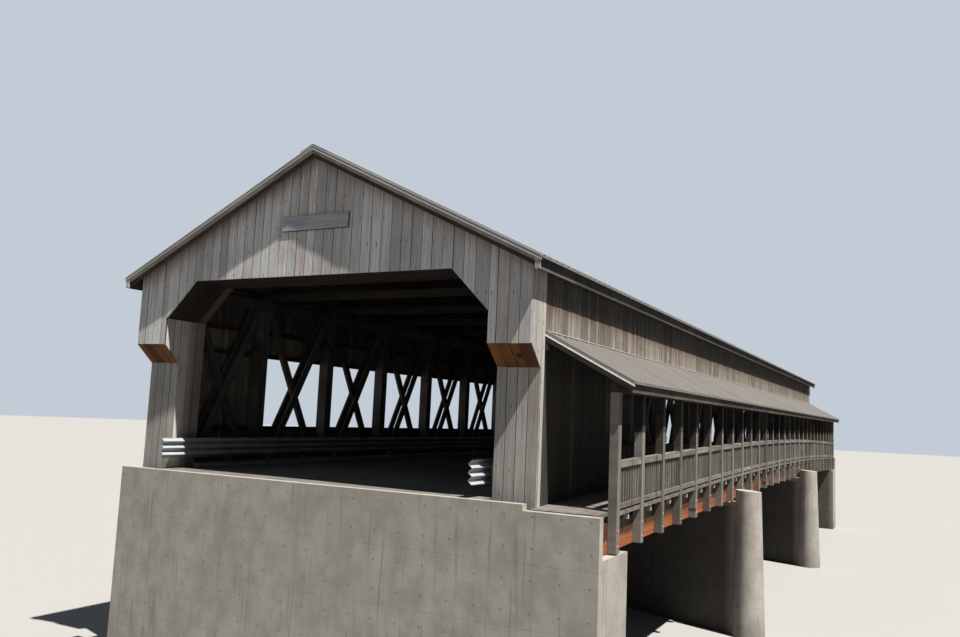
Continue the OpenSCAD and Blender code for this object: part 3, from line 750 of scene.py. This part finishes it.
def clad(outline, place, seed, pitch, thick, gap=0.006, ragged=0.0, sunk=0.003):
    """Boards side by side in a flat outline: X runs across them, Y along them and Z out of the wall."""
    draw = random.Random(seed)
    bm = flat_face(outline)
    low, high = span(outline)
    count = max(1, round((high - low) / pitch))
    step = (high - low) / count
    cuts = [low + (i + draw.uniform(-JOINT_WANDER, JOINT_WANDER)) * step for i in range(1, count)]
    for u, *_ in upright_steps(outline):
        nearest = min(range(len(cuts)), key=lambda i: abs(cuts[i] - u))
        cuts[nearest] = u
    for cut in cuts:
        cut_flat(bm, bm.faces[:], (cut, 0, 0), (1, 0, 0))
    bmesh.ops.split_edges(bm, edges=[e for e in bm.edges if len(e.link_faces) == 2])
    rims = bmesh.ops.inset_individual(bm, faces=bm.faces[:], thickness=gap / 2, use_even_offset=True)
    bmesh.ops.delete(bm, geom=rims["faces"], context="FACES")
    foot_depth = 0.002
    for face in bm.faces[:]:
        sink = draw.uniform(0.0, sunk)
        drop = draw.uniform(0.0, ragged)
        bottom = min(v.co.y for v in face.verts)
        for vert in face.verts:
            vert.co.z = -sink
            if vert.co.y < bottom + foot_depth:
                vert.co.y += drop
    thicken(bm, thick)
    joint = bm.faces.layers.float.new("joint")
    for face in bm.faces:
        inside = low + 2 * gap < face.calc_center_median().x < high - 2 * gap
        face[joint] = float(inside and abs(face.normal.x) > 0.9)
    set_grain(bm, (0, 1, 0))
    set_tone(bm, draw)
    if cuts:
        bm = merge([bm, joint_tongues(outline, cuts, thick, gap)])
    bm.transform(place)
    return bm


def mirrored(bm, side, far):
    """Moves a mesh from the near right quarter of the bridge to the same place in another quarter."""
    turn = Matrix.Diagonal((side, -1 if far else 1, 1, 1))
    bm.transform(Matrix.Translation((0, bridge_l if far else 0, 0)) @ turn)
    if turn.determinant() < 0:
        bmesh.ops.reverse_faces(bm, faces=bm.faces[:])
    return bm


QUARTERS = ((1, False), (-1, False), (1, True), (-1, True))


def four_quarters(make, seed):
    """What a function makes for the near right quarter, in all four quarters, each with its own seed."""
    return merge([mirrored(make(seed + i), *quarter) for i, quarter in enumerate(QUARTERS)])


def four_copies(bm):
    """A mesh of the near right quarter, in all four quarters."""
    return merge([mirrored(bm.copy(), *quarter) for quarter in QUARTERS])


def with_mirror(bm, side=-1, far=False):
    """A mesh and its copy in another quarter."""
    return [bm, mirrored(bm.copy(), side, far)]


def mirror_pairs(pairs):
    """The boxes and their mirror images on the other side of the road."""
    return pairs + [((-b[0], a[1], a[2]), (-a[0], b[1], b[2])) for a, b in pairs]


def lengths(y0, y1, longest, seed):
    """The start and end of each board in a row of boards that meet end to end."""
    half_gap = 0.001
    shortest, least_rest = 0.8, 0.4
    draw = random.Random(seed)
    runs = []
    start = y0
    while start < y1 - 0.01:
        end = start + longest * draw.uniform(shortest, 1.0)
        if y1 - end < least_rest * longest:
            end = y1
        runs.append((start + half_gap, end - half_gap))
        start = end
    return runs


def raise_to_walkway(bm):
    """Lifts a mesh that was made level so that it follows the walkway's rise."""
    for vert in bm.verts:
        vert.co.z += lift(vert.co.y)
    return bm


# Gables and portals

GABLE_PITCH = 0.137
LEG_PITCH = 0.125
WALL_PITCH = 0.090
CORNER_PITCH = 0.112
CORNER_BRACE_W = 0.130
CORBEL_SLOPE = Vector((0, -leg_front, gable_foot - corbel_foot))


def rectangle(u0, u1, v0, v1):
    return [(u0, v0), (u1, v0), (u1, v1), (u0, v1)]


def make_gables():
    """Upright boards from the gable's foot round the opening to the slopes of the roof."""
    foot = [(open_x - corner_cut, opening_top), (open_x, opening_top - corner_cut), (open_x, gable_foot),
            (wall_x, gable_foot)]
    outline = [*((-x, z) for x, z in reversed(foot)), *foot, (wall_x, roof_under(wall_x)),
               (0, roof_under(0)), (-wall_x, roof_under(wall_x))]
    for word, y, way, seed in (("near", board_t, 1, 11), ("far", bridge_l - board_t, -1, 12)):
        bm = clad(outline, wall_place((0, y, 0), (way, 0, 0)), seed, GABLE_PITCH, board_t, sunk=0.006)
        as_piece(f"{word}_gable_boards", bm, "gable_boards", "grey_boards", f"{word}_gable")


def leg_front_boards(seed):
    """The leg's outward face, up to a little over the corbel's foot."""
    outline = rectangle(open_x, wall_x, seat_z, corbel_foot + 0.03)
    return clad(outline, wall_place((0, leg_front + board_t, 0), (1, 0, 0)), seed, LEG_PITCH, board_t)


def leg_back_boards(seed):
    outline = rectangle(-board_x, -open_x, seat_z, opening_top)
    return clad(outline, wall_place((0, leg_back - board_t, 0), (-1, 0, 0)), seed, GABLE_PITCH, board_t)


def leg_inner_boards(seed):
    """The face towards the road, up to the slanted corner and out to the gable's boards."""
    corner = opening_top - corner_cut
    outline = [(-leg_back, seat_z), (-leg_front, seat_z), (-leg_front, corbel_foot), (-board_t, gable_foot),
               (-board_t, corner), (-leg_back, corner)]
    return clad(outline, wall_place((open_x + board_t, 0, 0), (0, -1, 0)), seed, GABLE_PITCH, board_t)


def corner_clad(seed, back, front):
    """Boards under the slanted corner of the opening, between two distances from the gable's face."""
    out = lining_t / math.sqrt(2)
    place = wall_place((open_x + out, 0, opening_top - corner_cut + out), (0, -1, 0), (-1, 0, 1))
    return clad(rectangle(-back, -front, 0, corner_cut * math.sqrt(2)), place, seed, GABLE_PITCH, lining_t)


def corner_boarding(seed):
    return corner_clad(seed, leg_back - CORNER_BRACE_W, board_t)


def corner_brace(seed):
    return corner_clad(seed, leg_back, leg_back - CORNER_BRACE_W)


def top_lining(seed):
    """Boards under half of the opening's top."""
    half = open_x - corner_cut
    place = wall_place((half, 0, opening_top + lining_t), (0, -1, 0), (-1, 0, 0))
    return clad(rectangle(-leg_back, -board_t, 0, half), place, seed, GABLE_PITCH, lining_t)


def corbel_soffit(seed):
    """Boards that slope from the gable's foot back to the leg."""
    thick = 0.02
    place = wall_place((0, leg_front, corbel_foot), (1, 0, 0), CORBEL_SLOPE)
    back = Matrix.Translation(place.to_3x3() @ Vector((0, 0, -thick)))
    outline = rectangle(open_x, wall_x, 0, CORBEL_SLOPE.length)
    return clad(outline, back @ place, seed, GABLE_PITCH * 0.9, thick)


def corbel_fitting():
    """A small dark box on the slanted soffit of the near right corbel."""
    half_w, sunk, high, off_middle = 0.028, 0.002, 0.014, 0.070
    bm = timbers([((-half_w, -half_w, -sunk), (half_w, half_w, high))], (1, 0, 0), 0, edge=0.003)
    middle = ((open_x + wall_x) / 2 + off_middle, leg_front / 2, (gable_foot + corbel_foot) / 2)
    bm.transform(wall_place(middle, (1, 0, 0), CORBEL_SLOPE))
    return bm


def make_portals():
    legs = merge([four_quarters(leg_front_boards, 41), four_quarters(leg_back_boards, 45)])
    as_piece("portal_leg_boards", legs, "leg_boards", "grey_boards", "portal_legs")
    for name, make, seed, *says in (
            ("portal_inner_boards", leg_inner_boards, 51, "inner_boards", "grey_boards"),
            ("portal_lining_boards", top_lining, 70, "lining", "cedar_soffit", "portal_linings"),
            ("portal_corner_boards", corner_boarding, 61, "lining", "grey_boards"),
            ("portal_corner_braces", corner_brace, 65, "corner_brace", "cedar_soffit"),
            ("corbel_soffits", corbel_soffit, 71, "soffit", "cedar_soffit", "corbels")):
        as_piece(name, four_quarters(make, seed), *says)
    as_piece("corbel_fitting", corbel_fitting(), "dark_fitting_and_gap_shade", "cedar_soffit")


def make_sign():
    """A bare board, and behind it a dark strip that shows as a thin edge on its right and below: a painted
    shadow of the board.
    """
    low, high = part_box("sign_board")
    bm = timbers([(low, high)], (1, 0, 0), 5, edge=0.004)
    as_piece("bare_sign_board", bm, "sign", "trim_boards", "sign_board")
    # A dark strip behind the sign: painted shadow of the board on the gable
    corners = ((low.x + 0.002, low.y + 0.004, low.z - 0.007), (high.x + 0.006, 0.001, high.z - 0.002))
    as_piece("sign_painted_shadow", timbers([corners], (1, 0, 0), 6), "lining", "trim_boards")


# Side walls

SIDES = ((1, "right", right_closed_y), (-1, "left", left_closed_y))


def side_outline(closed):
    """The upper wall with both end panels, which reach down to the skirt, between the corner boards."""
    half = [(walk_y0, wall_top), (walk_y0, skirt_z), (closed, skirt_z), (closed, gable_foot)]
    return half + [(bridge_l - y, z) for y, z in reversed(half)]


def side_boards(outline, side, seed):
    place = wall_place((side * board_x, 0, 0), (0, side, 0))
    return clad(outline, place, seed + side, WALL_PITCH, board_t, gap=0.005, ragged=0.004)


def corner_boards(seed):
    """Upright boards of full length at the corner, cut to the slope of the corbel."""
    front = leg_front + board_t
    outline = [(board_t, wall_top), (board_t, gable_foot), (leg_front, corbel_foot), (front, corbel_foot),
               (front, skirt_z), (walk_y0, skirt_z), (walk_y0, wall_top)]
    return clad(outline, wall_place((board_x, 0, 0), (0, 1, 0)), seed, CORNER_PITCH, board_t + 0.002)


def make_side_walls():
    parts = []
    for side, _, closed in SIDES:
        outline = [(side * y, z) for y, z in side_outline(closed)]
        parts.append(side_boards(outline[::side], side, 21))
    as_piece("side_wall_boards", merge(parts), "wall_boards", "grey_boards",
             "left_upper_wall", "right_upper_wall", "end_wall_panels")
    as_piece("corner_wall_boards", four_quarters(corner_boards, 31), "corner_boards", "grey_boards")
    for side, word, closed in SIDES:
        ends = sorted((side * closed, side * (bridge_l - closed)))
        low = side_boards(rectangle(*ends, skirt_z, low_wall_top), side, 25)
        as_piece(f"{word}_low_boards", low, "wall_boards", "grey_boards", f"{word}_low_wall")


# Trusses

BRACE_W = 0.110
BRACE_T = 0.045
COUNTER_T = 0.060
CHORD_LONGEST = 3.4
chord_top = seat_z + 0.240
top_chord_z = wall_top - 0.150


def brace(y_low, y_high, x0, thick, draw):
    """A slanted timber from the bottom chord to the top chord."""
    run = y_high - y_low
    height = top_chord_z - chord_top
    flat = math.copysign(BRACE_W / math.sin(math.atan(height / abs(run))), run)
    outline = [(y_low, chord_top), (y_low + flat, chord_top), (y_high, top_chord_z),
               (y_high - flat, top_chord_z)]
    bm = thicken(flat_face(outline[::1 if run > 0 else -1]), thick)
    soften(bm, 0.003)
    set_grain(bm, (run, height, 0))
    set_tone(bm, draw)
    bm.transform(wall_place((x0, 0, 0), (0, 1, 0)))
    return bm


def truss_braces(seed):
    """Pairs of main braces that rise towards the middle, with a counter brace between each pair."""
    draw = random.Random(seed)
    starts = [leg_back] + [y + truss_post_w / 2 for y in truss_frames]
    ends = [y - truss_post_w / 2 for y in truss_frames] + [bridge_l - leg_back]
    middle = (truss_in_x + truss_out_x - COUNTER_T) / 2
    parts = []
    for a, b in zip(starts, ends):
        low, high = (a, b) if (a + b) / 2 < mid_y else (b, a)
        for x in (truss_in_x, truss_out_x - BRACE_T):
            parts.append(brace(low, high, x, BRACE_T, draw))
        parts.append(brace(high, low, middle, COUNTER_T, draw))
    return merge(parts)


def truss_chords(seed):
    """Three planks side by side, with their ends apart."""
    pairs = []
    width = (truss_out_x - truss_in_x) / 3
    half_gap = 0.001
    for i in range(3):
        x0 = truss_in_x + i * width
        for z0, z1, y0 in ((seat_z, chord_top, leg_back), (top_chord_z, wall_top, board_t)):
            for a, b in lengths(y0, bridge_l - y0, CHORD_LONGEST, seed + i):
                pairs.append(((x0 + half_gap, a, z0), (x0 + width - half_gap, b, z1)))
    return timbers(pairs, (0, 1, 0), seed, edge=0.003)


def truss_posts(seed):
    half = truss_post_w / 2
    pairs = [((truss_in_x, y - half, chord_top), (truss_out_x, y + half, top_chord_z)) for y in truss_frames]
    return timbers(pairs, (0, 0, 1), seed, edge=0.004)


def make_trusses():
    for side, word, _ in SIDES:
        for part, make in (("braces", truss_braces), ("chords", truss_chords), ("posts", truss_posts)):
            bm = mirrored(make(80 + side), side, False)
            as_piece(f"{word}_truss_{part}_timber", bm, "timber", "dark_timber", f"{word}_truss_{part}")


# Walkway

def make_walkway_posts():
    half = post_w / 2
    pairs = [((post_in_x, y - half, stringer_foot + lift(y - half)), (post_out_x, y + half, post_top))
             for y in frames]
    as_piece("walkway_post_timbers", timbers(pairs, (0, 0, 1), 101, edge=0.003), "post", "walkway_wood",
             "walkway_posts")


def railing_pairs(y0, y1):
    """One railing panel between two posts, made level."""
    top = walk_z + 0.497
    foot = walk_z + 0.022
    cap_t, cap_w, top_h, foot_h, board, side = 0.020, 0.076, 0.046, 0.054, 0.022, 0.020
    outer = post_out_x - 0.010
    long_boards = [((outer - cap_w, y0, top - cap_t), (outer, y1, top)),
                   ((outer - board, y0, top - cap_t - top_h), (outer, y1, top - cap_t)),
                   ((outer - board, y0, foot), (outer, y1, foot + foot_h))]
    count = 9
    step = (y1 - y0 + post_w) / (count + 1)
    inner = outer - board
    middles = [y0 - post_w / 2 + i * step for i in range(1, count + 1)]
    balusters = [((inner - side, y - side / 2, foot + 0.004), (inner, y + side / 2, top - cap_t))
                 for y in middles]
    return long_boards, balusters


def make_railing():
    long_boards, balusters = [], []
    for a, b in zip(frames, frames[1:]):
        boards, bars = railing_pairs(a + post_w / 2, b - post_w / 2)
        long_boards += boards
        balusters += bars
    bm = merge([timbers(long_boards, (0, 1, 0), 111), timbers(balusters, (0, 0, 1), 112, edge=0.0015)])
    as_piece("walkway_railing_timbers", raise_to_walkway(bm), "rail", "walkway_wood", "walkway_railing")


def make_walkway_deck():
    """Planks across the walkway, notched round the posts."""
    per_bay = 11
    pitch = bay / per_bay
    gap = 0.004
    nosing_x = post_out_x - 0.012
    pairs = []
    top, foot = walk_z, walk_z - plank_t
    y0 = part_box("walkway_deck")[0].y
    first = math.ceil((y0 - frames[0]) / pitch)
    last = math.floor((bridge_l - y0 - frames[0]) / pitch)
    for i in range(first, last):
        a = frames[0] + i * pitch + gap / 2
        b = a + pitch - gap
        pairs.append(((wall_x, a, foot), (post_in_x, b, top)))
        if not 0 <= i < per_bay * bays:
            continue
        from_post = (i % per_bay) * pitch
        free_a = a + max(0.0, post_w / 2 - from_post)
        free_b = b - max(0.0, post_w / 2 - (bay - from_post - pitch))
        pairs.append(((post_in_x, free_a, foot), (nosing_x, free_b, top)))

    def plank(centre):
        return math.floor((centre.y - frames[0]) / pitch)

    bm = timbers(pairs, (1, 0, 0), 121, edge=0.0, key=plank)
    as_piece("walkway_planks", raise_to_walkway(bm), "rail", "walkway_wood", "walkway_deck",
             "walkway_edge_boards")


def joist(y, x0, x1):
    """The corners of a joist across the walkway, or of a part of it."""
    half = 0.018
    foot = walk_z - plank_t - joist_h
    return (x0, y - half, foot), (x1, y + half, foot + joist_h)


def make_walkway_joists():
    """A joist at each post and one between, whose painted tail reaches past the stringer."""
    tail_x0, tail_x1 = post_in_x + 0.020, post_in_x + 0.070
    between = [y + bay / 2 for y in frames[:-1]]
    pairs = [joist(frames[0], wall_x, post_in_x)]
    for middle, y in zip(between, frames[1:]):
        pairs += [joist(middle, wall_x, tail_x0), joist(y, wall_x, post_in_x)]
    bm = raise_to_walkway(timbers(pairs, (1, 0, 0), 131))
    as_piece("walkway_joist_timbers", bm, "rail", "walkway_wood", "walkway_joists")
    tails = [joist(middle, tail_x0, tail_x1) for middle in between]
    bm = raise_to_walkway(timbers(tails, (1, 0, 0), 132))
    as_piece("painted_joist_tails", bm, "tail_paint", "walkway_wood")


# Road

def make_rail_posts():
    """A block behind the guard rail at each post, fixed to a post, or to the portal's leg at the ends."""
    half_w = 0.040
    back_x, post_x, post_out = 2.242, 2.312, 2.392
    low, high = road_z + 0.156, road_z + 0.370
    post_foot, post_head = road_z + 0.05, high + 0.01
    pairs = []
    for y in frames[1:-1]:
        pairs += [((back_x, y - half_w, low), (post_x, y + half_w, high)),
                  ((post_x, y - half_w, post_foot), (post_out, y + half_w, post_head))]
    middle = (leg_front + leg_back) / 2
    pairs += [((back_x, y - half_w, low), (open_x, y + half_w, high)) for y in (middle, bridge_l - middle)]
    bm = timbers(mirror_pairs(pairs), (0, 0, 1), 141, edge=0.003)
    as_piece("guard_rail_blocks", bm, "rail", "dark_timber", "guard_rail_posts")


# Roof edges

TRIM_LONGEST = 2.4
TRIM_T = 0.024


def make_fascias():
    """A fascia board under each eave, a pale strip along its foot and a pale end at each gable."""
    low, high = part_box("eave_fascias")
    back_x = high.x - TRIM_T
    face_x, strip_face, end_face = high.x - 0.010, high.x + 0.004, high.x + 0.005
    strip_back, end_back = back_x + 0.008, back_x - 0.030
    strip_h, end_t = 0.017, 0.014
    runs = lengths(low.y, high.y, TRIM_LONGEST, 151)
    boards = [((back_x, a, low.z), (face_x, b, high.z)) for a, b in runs]
    strips = [((strip_back, a, low.z), (strip_face, b, low.z + strip_h)) for a, b in runs]
    ends = [((end_back, y, low.z), (end_face, y + end_t, high.z)) for y in (roof_y0, roof_y1 - end_t)]
    for name, pairs, along, seed, material, *replaced in (
            ("eave_fascia_boards", boards, (0, 1, 0), 152, "dark_trim", "eave_fascias"),
            ("eave_trim_strips", strips, (0, 1, 0), 153, "rail"),
            ("eave_box_ends", ends, (0, 0, 1), 154, "pale_trim")):
        as_piece(name, timbers(mirror_pairs(pairs), along, seed), material, "trim_boards", *replaced)


def band(x0, x1, z_at, low, high, thick):
    """A slab under or over a slope, between two heights measured from it."""
    outline = [(x0, z_at(x0) + low), (x1, z_at(x1) + low), (x1, z_at(x1) + high), (x0, z_at(x0) + high)]
    return thicken(flat_face(outline), thick)


def rake_board(y_in, drop, seed):
    """One board under the right slope of the roof, from the ridge to the eave."""
    bm = band(0.0005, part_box("rake_boards")[1].x, roof_under, -drop, 0.0, TRIM_T)
    soften(bm, 0.002)
    set_grain(bm, (roof_cos, -roof_cos * roof_tan, 0))
    set_tone(bm, random.Random(seed))
    bm.transform(wall_place((0, roof_y0 + y_in + TRIM_T, 0), (1, 0, 0)))
    return bm


def outer_rake(seed):
    return rake_board(0.008, 0.066, seed)


def inner_rake(seed):
    return rake_board(0.031, 0.115, seed)


def make_rakes():
    as_piece("rake_board_timbers", four_quarters(outer_rake, 161), "rake", "trim_boards", "rake_boards")
    as_piece("inner_rake_timbers", four_quarters(inner_rake, 171), "inner_rake", "trim_boards")


def minor_ribs(y0, y1, length):
    """Two low ribs between each pair of the sheet's high ribs, drawn flat from x = 0."""
    first = first_rib(y0, y1)
    half_w, height, crown_share = 0.007, 0.007, 0.4
    pairs = []
    for i in range(rib_count(y0, y1)):
        for part in (1 / 3, 2 / 3):
            y = first + (i + part) * rib_pitch
            pairs.append(((0, y - half_w, sheet_t - 0.001), (length, y + half_w, sheet_t + height)))
    bm = boxes(pairs)
    for vert in [v for v in bm.verts if v.co.z > sheet_t]:
        middle = first + round((vert.co.y - first) / (rib_pitch / 3)) * rib_pitch / 3
        vert.co.y = middle + (vert.co.y - middle) * crown_share
    return bm


def make_minor_ribs():
    drop = (rafter_d + sheet_t) * roof_tan * roof_cos
    right = minor_ribs(roof_y0, roof_y1, (roof_tip_x - drop) / roof_cos)
    slope = wall_place((0, 0, apex_z), (1, 0, -roof_tan), (0, 1, 0))
    right.transform(slope @ Matrix.Translation((0, 0, rafter_d)))
    walk_l = (walk_tip_x - wall_x - sheet_t * walk_tan * walk_cos) / walk_cos
    walk = minor_ribs(walk_y0, walk_y1, walk_l)
    walk.transform(wall_place((wall_x, 0, walk_roof_z - sheet_t / walk_cos), (1, 0, -walk_tan), (0, 1, 0)))
    as_piece("roof_minor_ribs", merge([*with_mirror(right), walk]), "roof_ribs", "roof_metal")


def sheet_top(x):
    return roof_under(x) + sheet_t / roof_cos


def walk_sheet_top(x):
    return walk_roof_z - (x - wall_x) * walk_tan


def slope_strip(y0, y1, *shape):
    """A strip across the end of a sloping sheet."""
    bm = band(*shape, y1 - y0)
    bm.transform(wall_place((0, y1, 0), (1, 0, 0)))
    return bm


# Heights from the sheet's top of the metal at the roofs' ends: a rounded hem, a plain band and a lip below
HEM_FOOT = -0.004
BAND_FOOT = -0.036


def main_end(low, high, y_out, y_in):
    """A strip across the near end of the main roof's right sheet."""
    return slope_strip(roof_y0 - y_out, roof_y0 + y_in, 0.001, roof_tip_x, sheet_top, low, high)


def walkway_ends(low, high, y_out, y_in):
    """A strip across both ends of the walkway's roof."""
    strip = slope_strip(walk_y0 - y_out, walk_y0 + y_in, wall_x, walk_tip_x, walk_sheet_top, low, high)
    return merge(with_mirror(strip, 1, True))


def make_flashings():
    """Folded metal along the eaves and ends of both roofs, and where the walkway's roof meets the wall, with
    painted shade in the openings under that flashing.
    """
    edge, walk_edge = sheet_top(roof_tip_x), walk_sheet_top(walk_tip_x)
    drip_x, drip_t, drip_foot, drip_head = roof_tip_x + 0.008, 0.012, 0.020, 0.006
    drip = ((drip_x - drip_t, roof_y0, edge - drip_foot), (drip_x, roof_y1, edge - drip_head))
    walk_in, walk_out, walk_head = 0.004, 0.007, 0.004
    walk_drip = ((walk_tip_x - walk_in, walk_y0, walk_edge - drip_foot),
                 (walk_tip_x + walk_out, walk_y1, walk_edge - walk_head))
    sunk, proud, upstand = 0.001, 0.004, 0.014
    up_wall = ((wall_x - sunk, walk_y0, walk_roof_z), (wall_x + proud, walk_y1, walk_roof_z + upstand))
    cover_x = wall_x + 0.030
    cover_foot, cover_top = 0.013, 0.016
    cover = slope_strip(walk_y0, walk_y1, wall_x, cover_x, walk_sheet_top, cover_foot, cover_top)
    hems = merge([main_end(HEM_FOOT, 0.008, 0.004, 0.012), main_end(-0.044, BAND_FOOT, 0.008, 0.008)])
    walk_hem = walkway_ends(HEM_FOOT, 0.010, 0.004, 0.010)
    drips = merge([boxes(mirror_pairs([drip])), boxes([walk_drip]), walk_hem])
    step, solid = 0.105, 0.040
    count = math.floor((walk_y1 - walk_y0) / step)
    # Dark boxes in the openings between the ribs under the wall flashing: painted shade
    shadow_in, shadow_out, shadow_sunk = 0.006, 0.012, 0.008
    foot = walk_sheet_top(cover_x)
    gap_shadows = [((cover_x - shadow_in, walk_y0 + i * step + solid, foot - shadow_sunk),
                 (cover_x + shadow_out, walk_y0 + (i + 1) * step, foot + cover_foot)) for i in range(count)]
    bands = four_copies(main_end(BAND_FOOT, HEM_FOOT, 0.001, 0.007))
    for name, bm, material in (
            ("edge_flashings", four_copies(hems), "flashing"),
            ("walkway_rake_lips", walkway_ends(-0.046, BAND_FOOT, 0.010, 0.008), "lip"),
            ("eave_drip_edges", drips, "roof_ribs"),
            ("wall_flashing", merge([boxes([up_wall]), cover]), "wall_metal"),
            ("rake_flashing_bands", bands, "flashing_face"),
            ("walkway_rake_bands", walkway_ends(BAND_FOOT, HEM_FOOT, 0.001, 0.007), "rake_band"),
            ("wall_gap_shadows", boxes(gap_shadows), "dark_fitting_and_gap_shade")):
        as_piece(name, bm, material, "roof_metal")


def make_walkway_trim():
    """The walkway roof's fascia along its eave and a board under each end of its sheet."""
    face_x = walk_tip_x - 0.020
    back_x = face_x - TRIM_T
    sheet = sheet_t / walk_cos
    top = walk_sheet_top(face_x) - sheet
    foot = top - 0.100
    board_h, strip_h = 0.085, 0.018
    runs = lengths(walk_y0, walk_y1, TRIM_LONGEST, 181)
    parts = [timbers([((back_x, a, foot), (face_x, b, top)) for a, b in runs], (0, 1, 0), 182)]
    for y in (walk_y0 + 0.004, walk_y1 - 0.028):
        board = slope_strip(y, y + TRIM_T, wall_x, back_x, walk_sheet_top, -sheet - board_h, -sheet)
        set_grain(board, (walk_cos, 0, -walk_cos * walk_tan))
        set_tone(board, random.Random(183))
        parts.append(board)
    as_piece("walkway_trim_boards", merge(parts), "dark_trim", "trim_boards", "walkway_trim")
    strips = [((face_x - 0.010, a, foot), (face_x + 0.005, b, foot + strip_h)) for a, b in runs]
    as_piece("walkway_trim_strips", timbers(strips, (0, 1, 0), 184), "timber", "trim_boards")


# Fastenings

def heads(places, radius, height, normal, sides=6):
    """Small heads of screws or bolts that stand on places of a surface."""
    bm = bmesh.new()
    turn = Vector(normal).to_track_quat("Z", "Y").to_matrix().to_4x4()
    for place in places:
        where = Matrix.Translation(place) @ turn @ Matrix.Translation((0, 0, height / 2))
        bmesh.ops.create_cone(bm, cap_ends=True, segments=sides, radius1=radius, radius2=radius * 0.75,
                              depth=height, matrix=where)
    return bm


def screws(rows, y0, y1, z_at, slope_tan, slope_cos):
    """Screws on every high rib of a roof, in rows that lie at some distances from the middle."""
    rib_h = 0.012
    ribs = [first_rib(y0, y1) + i * rib_pitch for i in range(rib_count(y0, y1) + 1)]
    places = [(x, y, z_at(x) + rib_h / slope_cos) for x in rows for y in ribs]
    return heads(places, 0.006, 0.004, (slope_tan, 0, 1))


def make_fastenings():
    right = screws((0.30, 1.10, 1.90, 2.70), roof_y0, roof_y1, sheet_top, roof_tan, roof_cos)
    walk = screws((3.10, 3.60), walk_y0, walk_y1, walk_sheet_top, walk_tan, walk_cos)
    as_piece("roof_screws", merge([*with_mirror(right), walk]), "roof", "roof_metal")
    posts = [(post_out_x - 0.001, y, stringer_foot + lift(y) + z) for y in frames for z in (0.07, 0.22)]
    rail_x, valleys = 2.206, (0.221, 0.305)
    blocks = [(rail_x, y, road_z + z) for y in frames[1:-1] for z in valleys]
    bolts = heads(posts, 0.010, 0.006, (1, 0, 0), 8)
    rails = heads(blocks, 0.009, 0.007, (-1, 0, 0), 8)
    as_piece("bolt_heads", merge([bolts, *with_mirror(rails)]), "steel", "galvanised_steel")


# Camera, floor and light

def make_camera():
    forward = Vector((-math.sin(YAW) * math.cos(PITCH), math.cos(YAW) * math.cos(PITCH), math.sin(PITCH)))
    level_right = Vector((math.cos(YAW), math.sin(YAW), 0))
    level_up = level_right.cross(forward)
    right = math.cos(ROLL) * level_right + math.sin(ROLL) * level_up
    up = math.cos(ROLL) * level_up - math.sin(ROLL) * level_right
    camera = in_scene("camera", bpy.data.cameras.new("camera"))
    turn = Matrix((right, up, -forward)).transposed().to_4x4()
    camera.matrix_world = Matrix.Translation(EYE) @ turn
    camera.data.lens = LENS
    camera.data.sensor_width = SENSOR
    camera.data.sensor_fit = "HORIZONTAL"
    camera.data.clip_end = 300
    bpy.context.scene.camera = camera


def sun_lamp(name, towards, energy, angle, colour):
    lamp = in_scene(name, bpy.data.lights.new(name, "SUN"))
    lamp.data.energy = energy
    lamp.data.angle = math.radians(angle)
    lamp.data.color = colour
    lamp.rotation_euler = towards.to_track_quat("Z", "Y").to_euler()


def make_studio():
    """A pale floor under the bridge, a key light from the right and a soft pale fill from the front.

    The camera sees the floor and the sky paler than the light that they give."""
    bm = bmesh.new()
    bmesh.ops.create_circle(bm, cap_ends=True, segments=96, radius=150.0)
    floor = in_scene("studio_floor", as_mesh("studio_floor", bm))
    material = new_material("pale_floor", {"Roughness": 0.95})
    seen = add("LightPath").outputs["Is Camera Ray"]
    floor.data.materials.append(finished(material, blend(seen, linear("767573"), linear("a5a4a1"))))
    sun_lamp("key_light", SUN, 7.2, 0.7, (1.0, 0.965, 0.915))
    sun_lamp("front_fill", FILL, 0.16, 50.0, (0.86, 0.93, 1.0))
    world = bpy.data.worlds.new("studio")
    world.use_nodes = True
    tree = world.node_tree
    trees.append(world.node_tree)
    ambient = tree.nodes["Background"]
    ambient.inputs["Color"].default_value = linear("cfdcf0")
    ambient.inputs["Strength"].default_value = 0.15
    backdrop = add("Background", {"Color": linear("c3ccd6"), "Strength": 1.0})
    seen = add("LightPath").outputs["Is Camera Ray"]
    mixed = add("MixShader", {0: seen, 1: ambient.outputs[0], 2: backdrop.outputs[0]})
    tree.links.new(mixed.outputs[0], tree.nodes["World Output"].inputs["Surface"])
    bpy.context.scene.world = world
    bpy.context.scene.view_settings.view_transform = "Standard"


make_camera()
make_studio()
finish_nodes()
make_gables()
make_portals()
make_sign()
make_side_walls()
make_trusses()
make_walkway_posts()
make_railing()
make_walkway_deck()
make_walkway_joists()
make_rail_posts()
make_fascias()
make_rakes()
make_minor_ribs()
make_flashings()
make_walkway_trim()
make_fastenings()
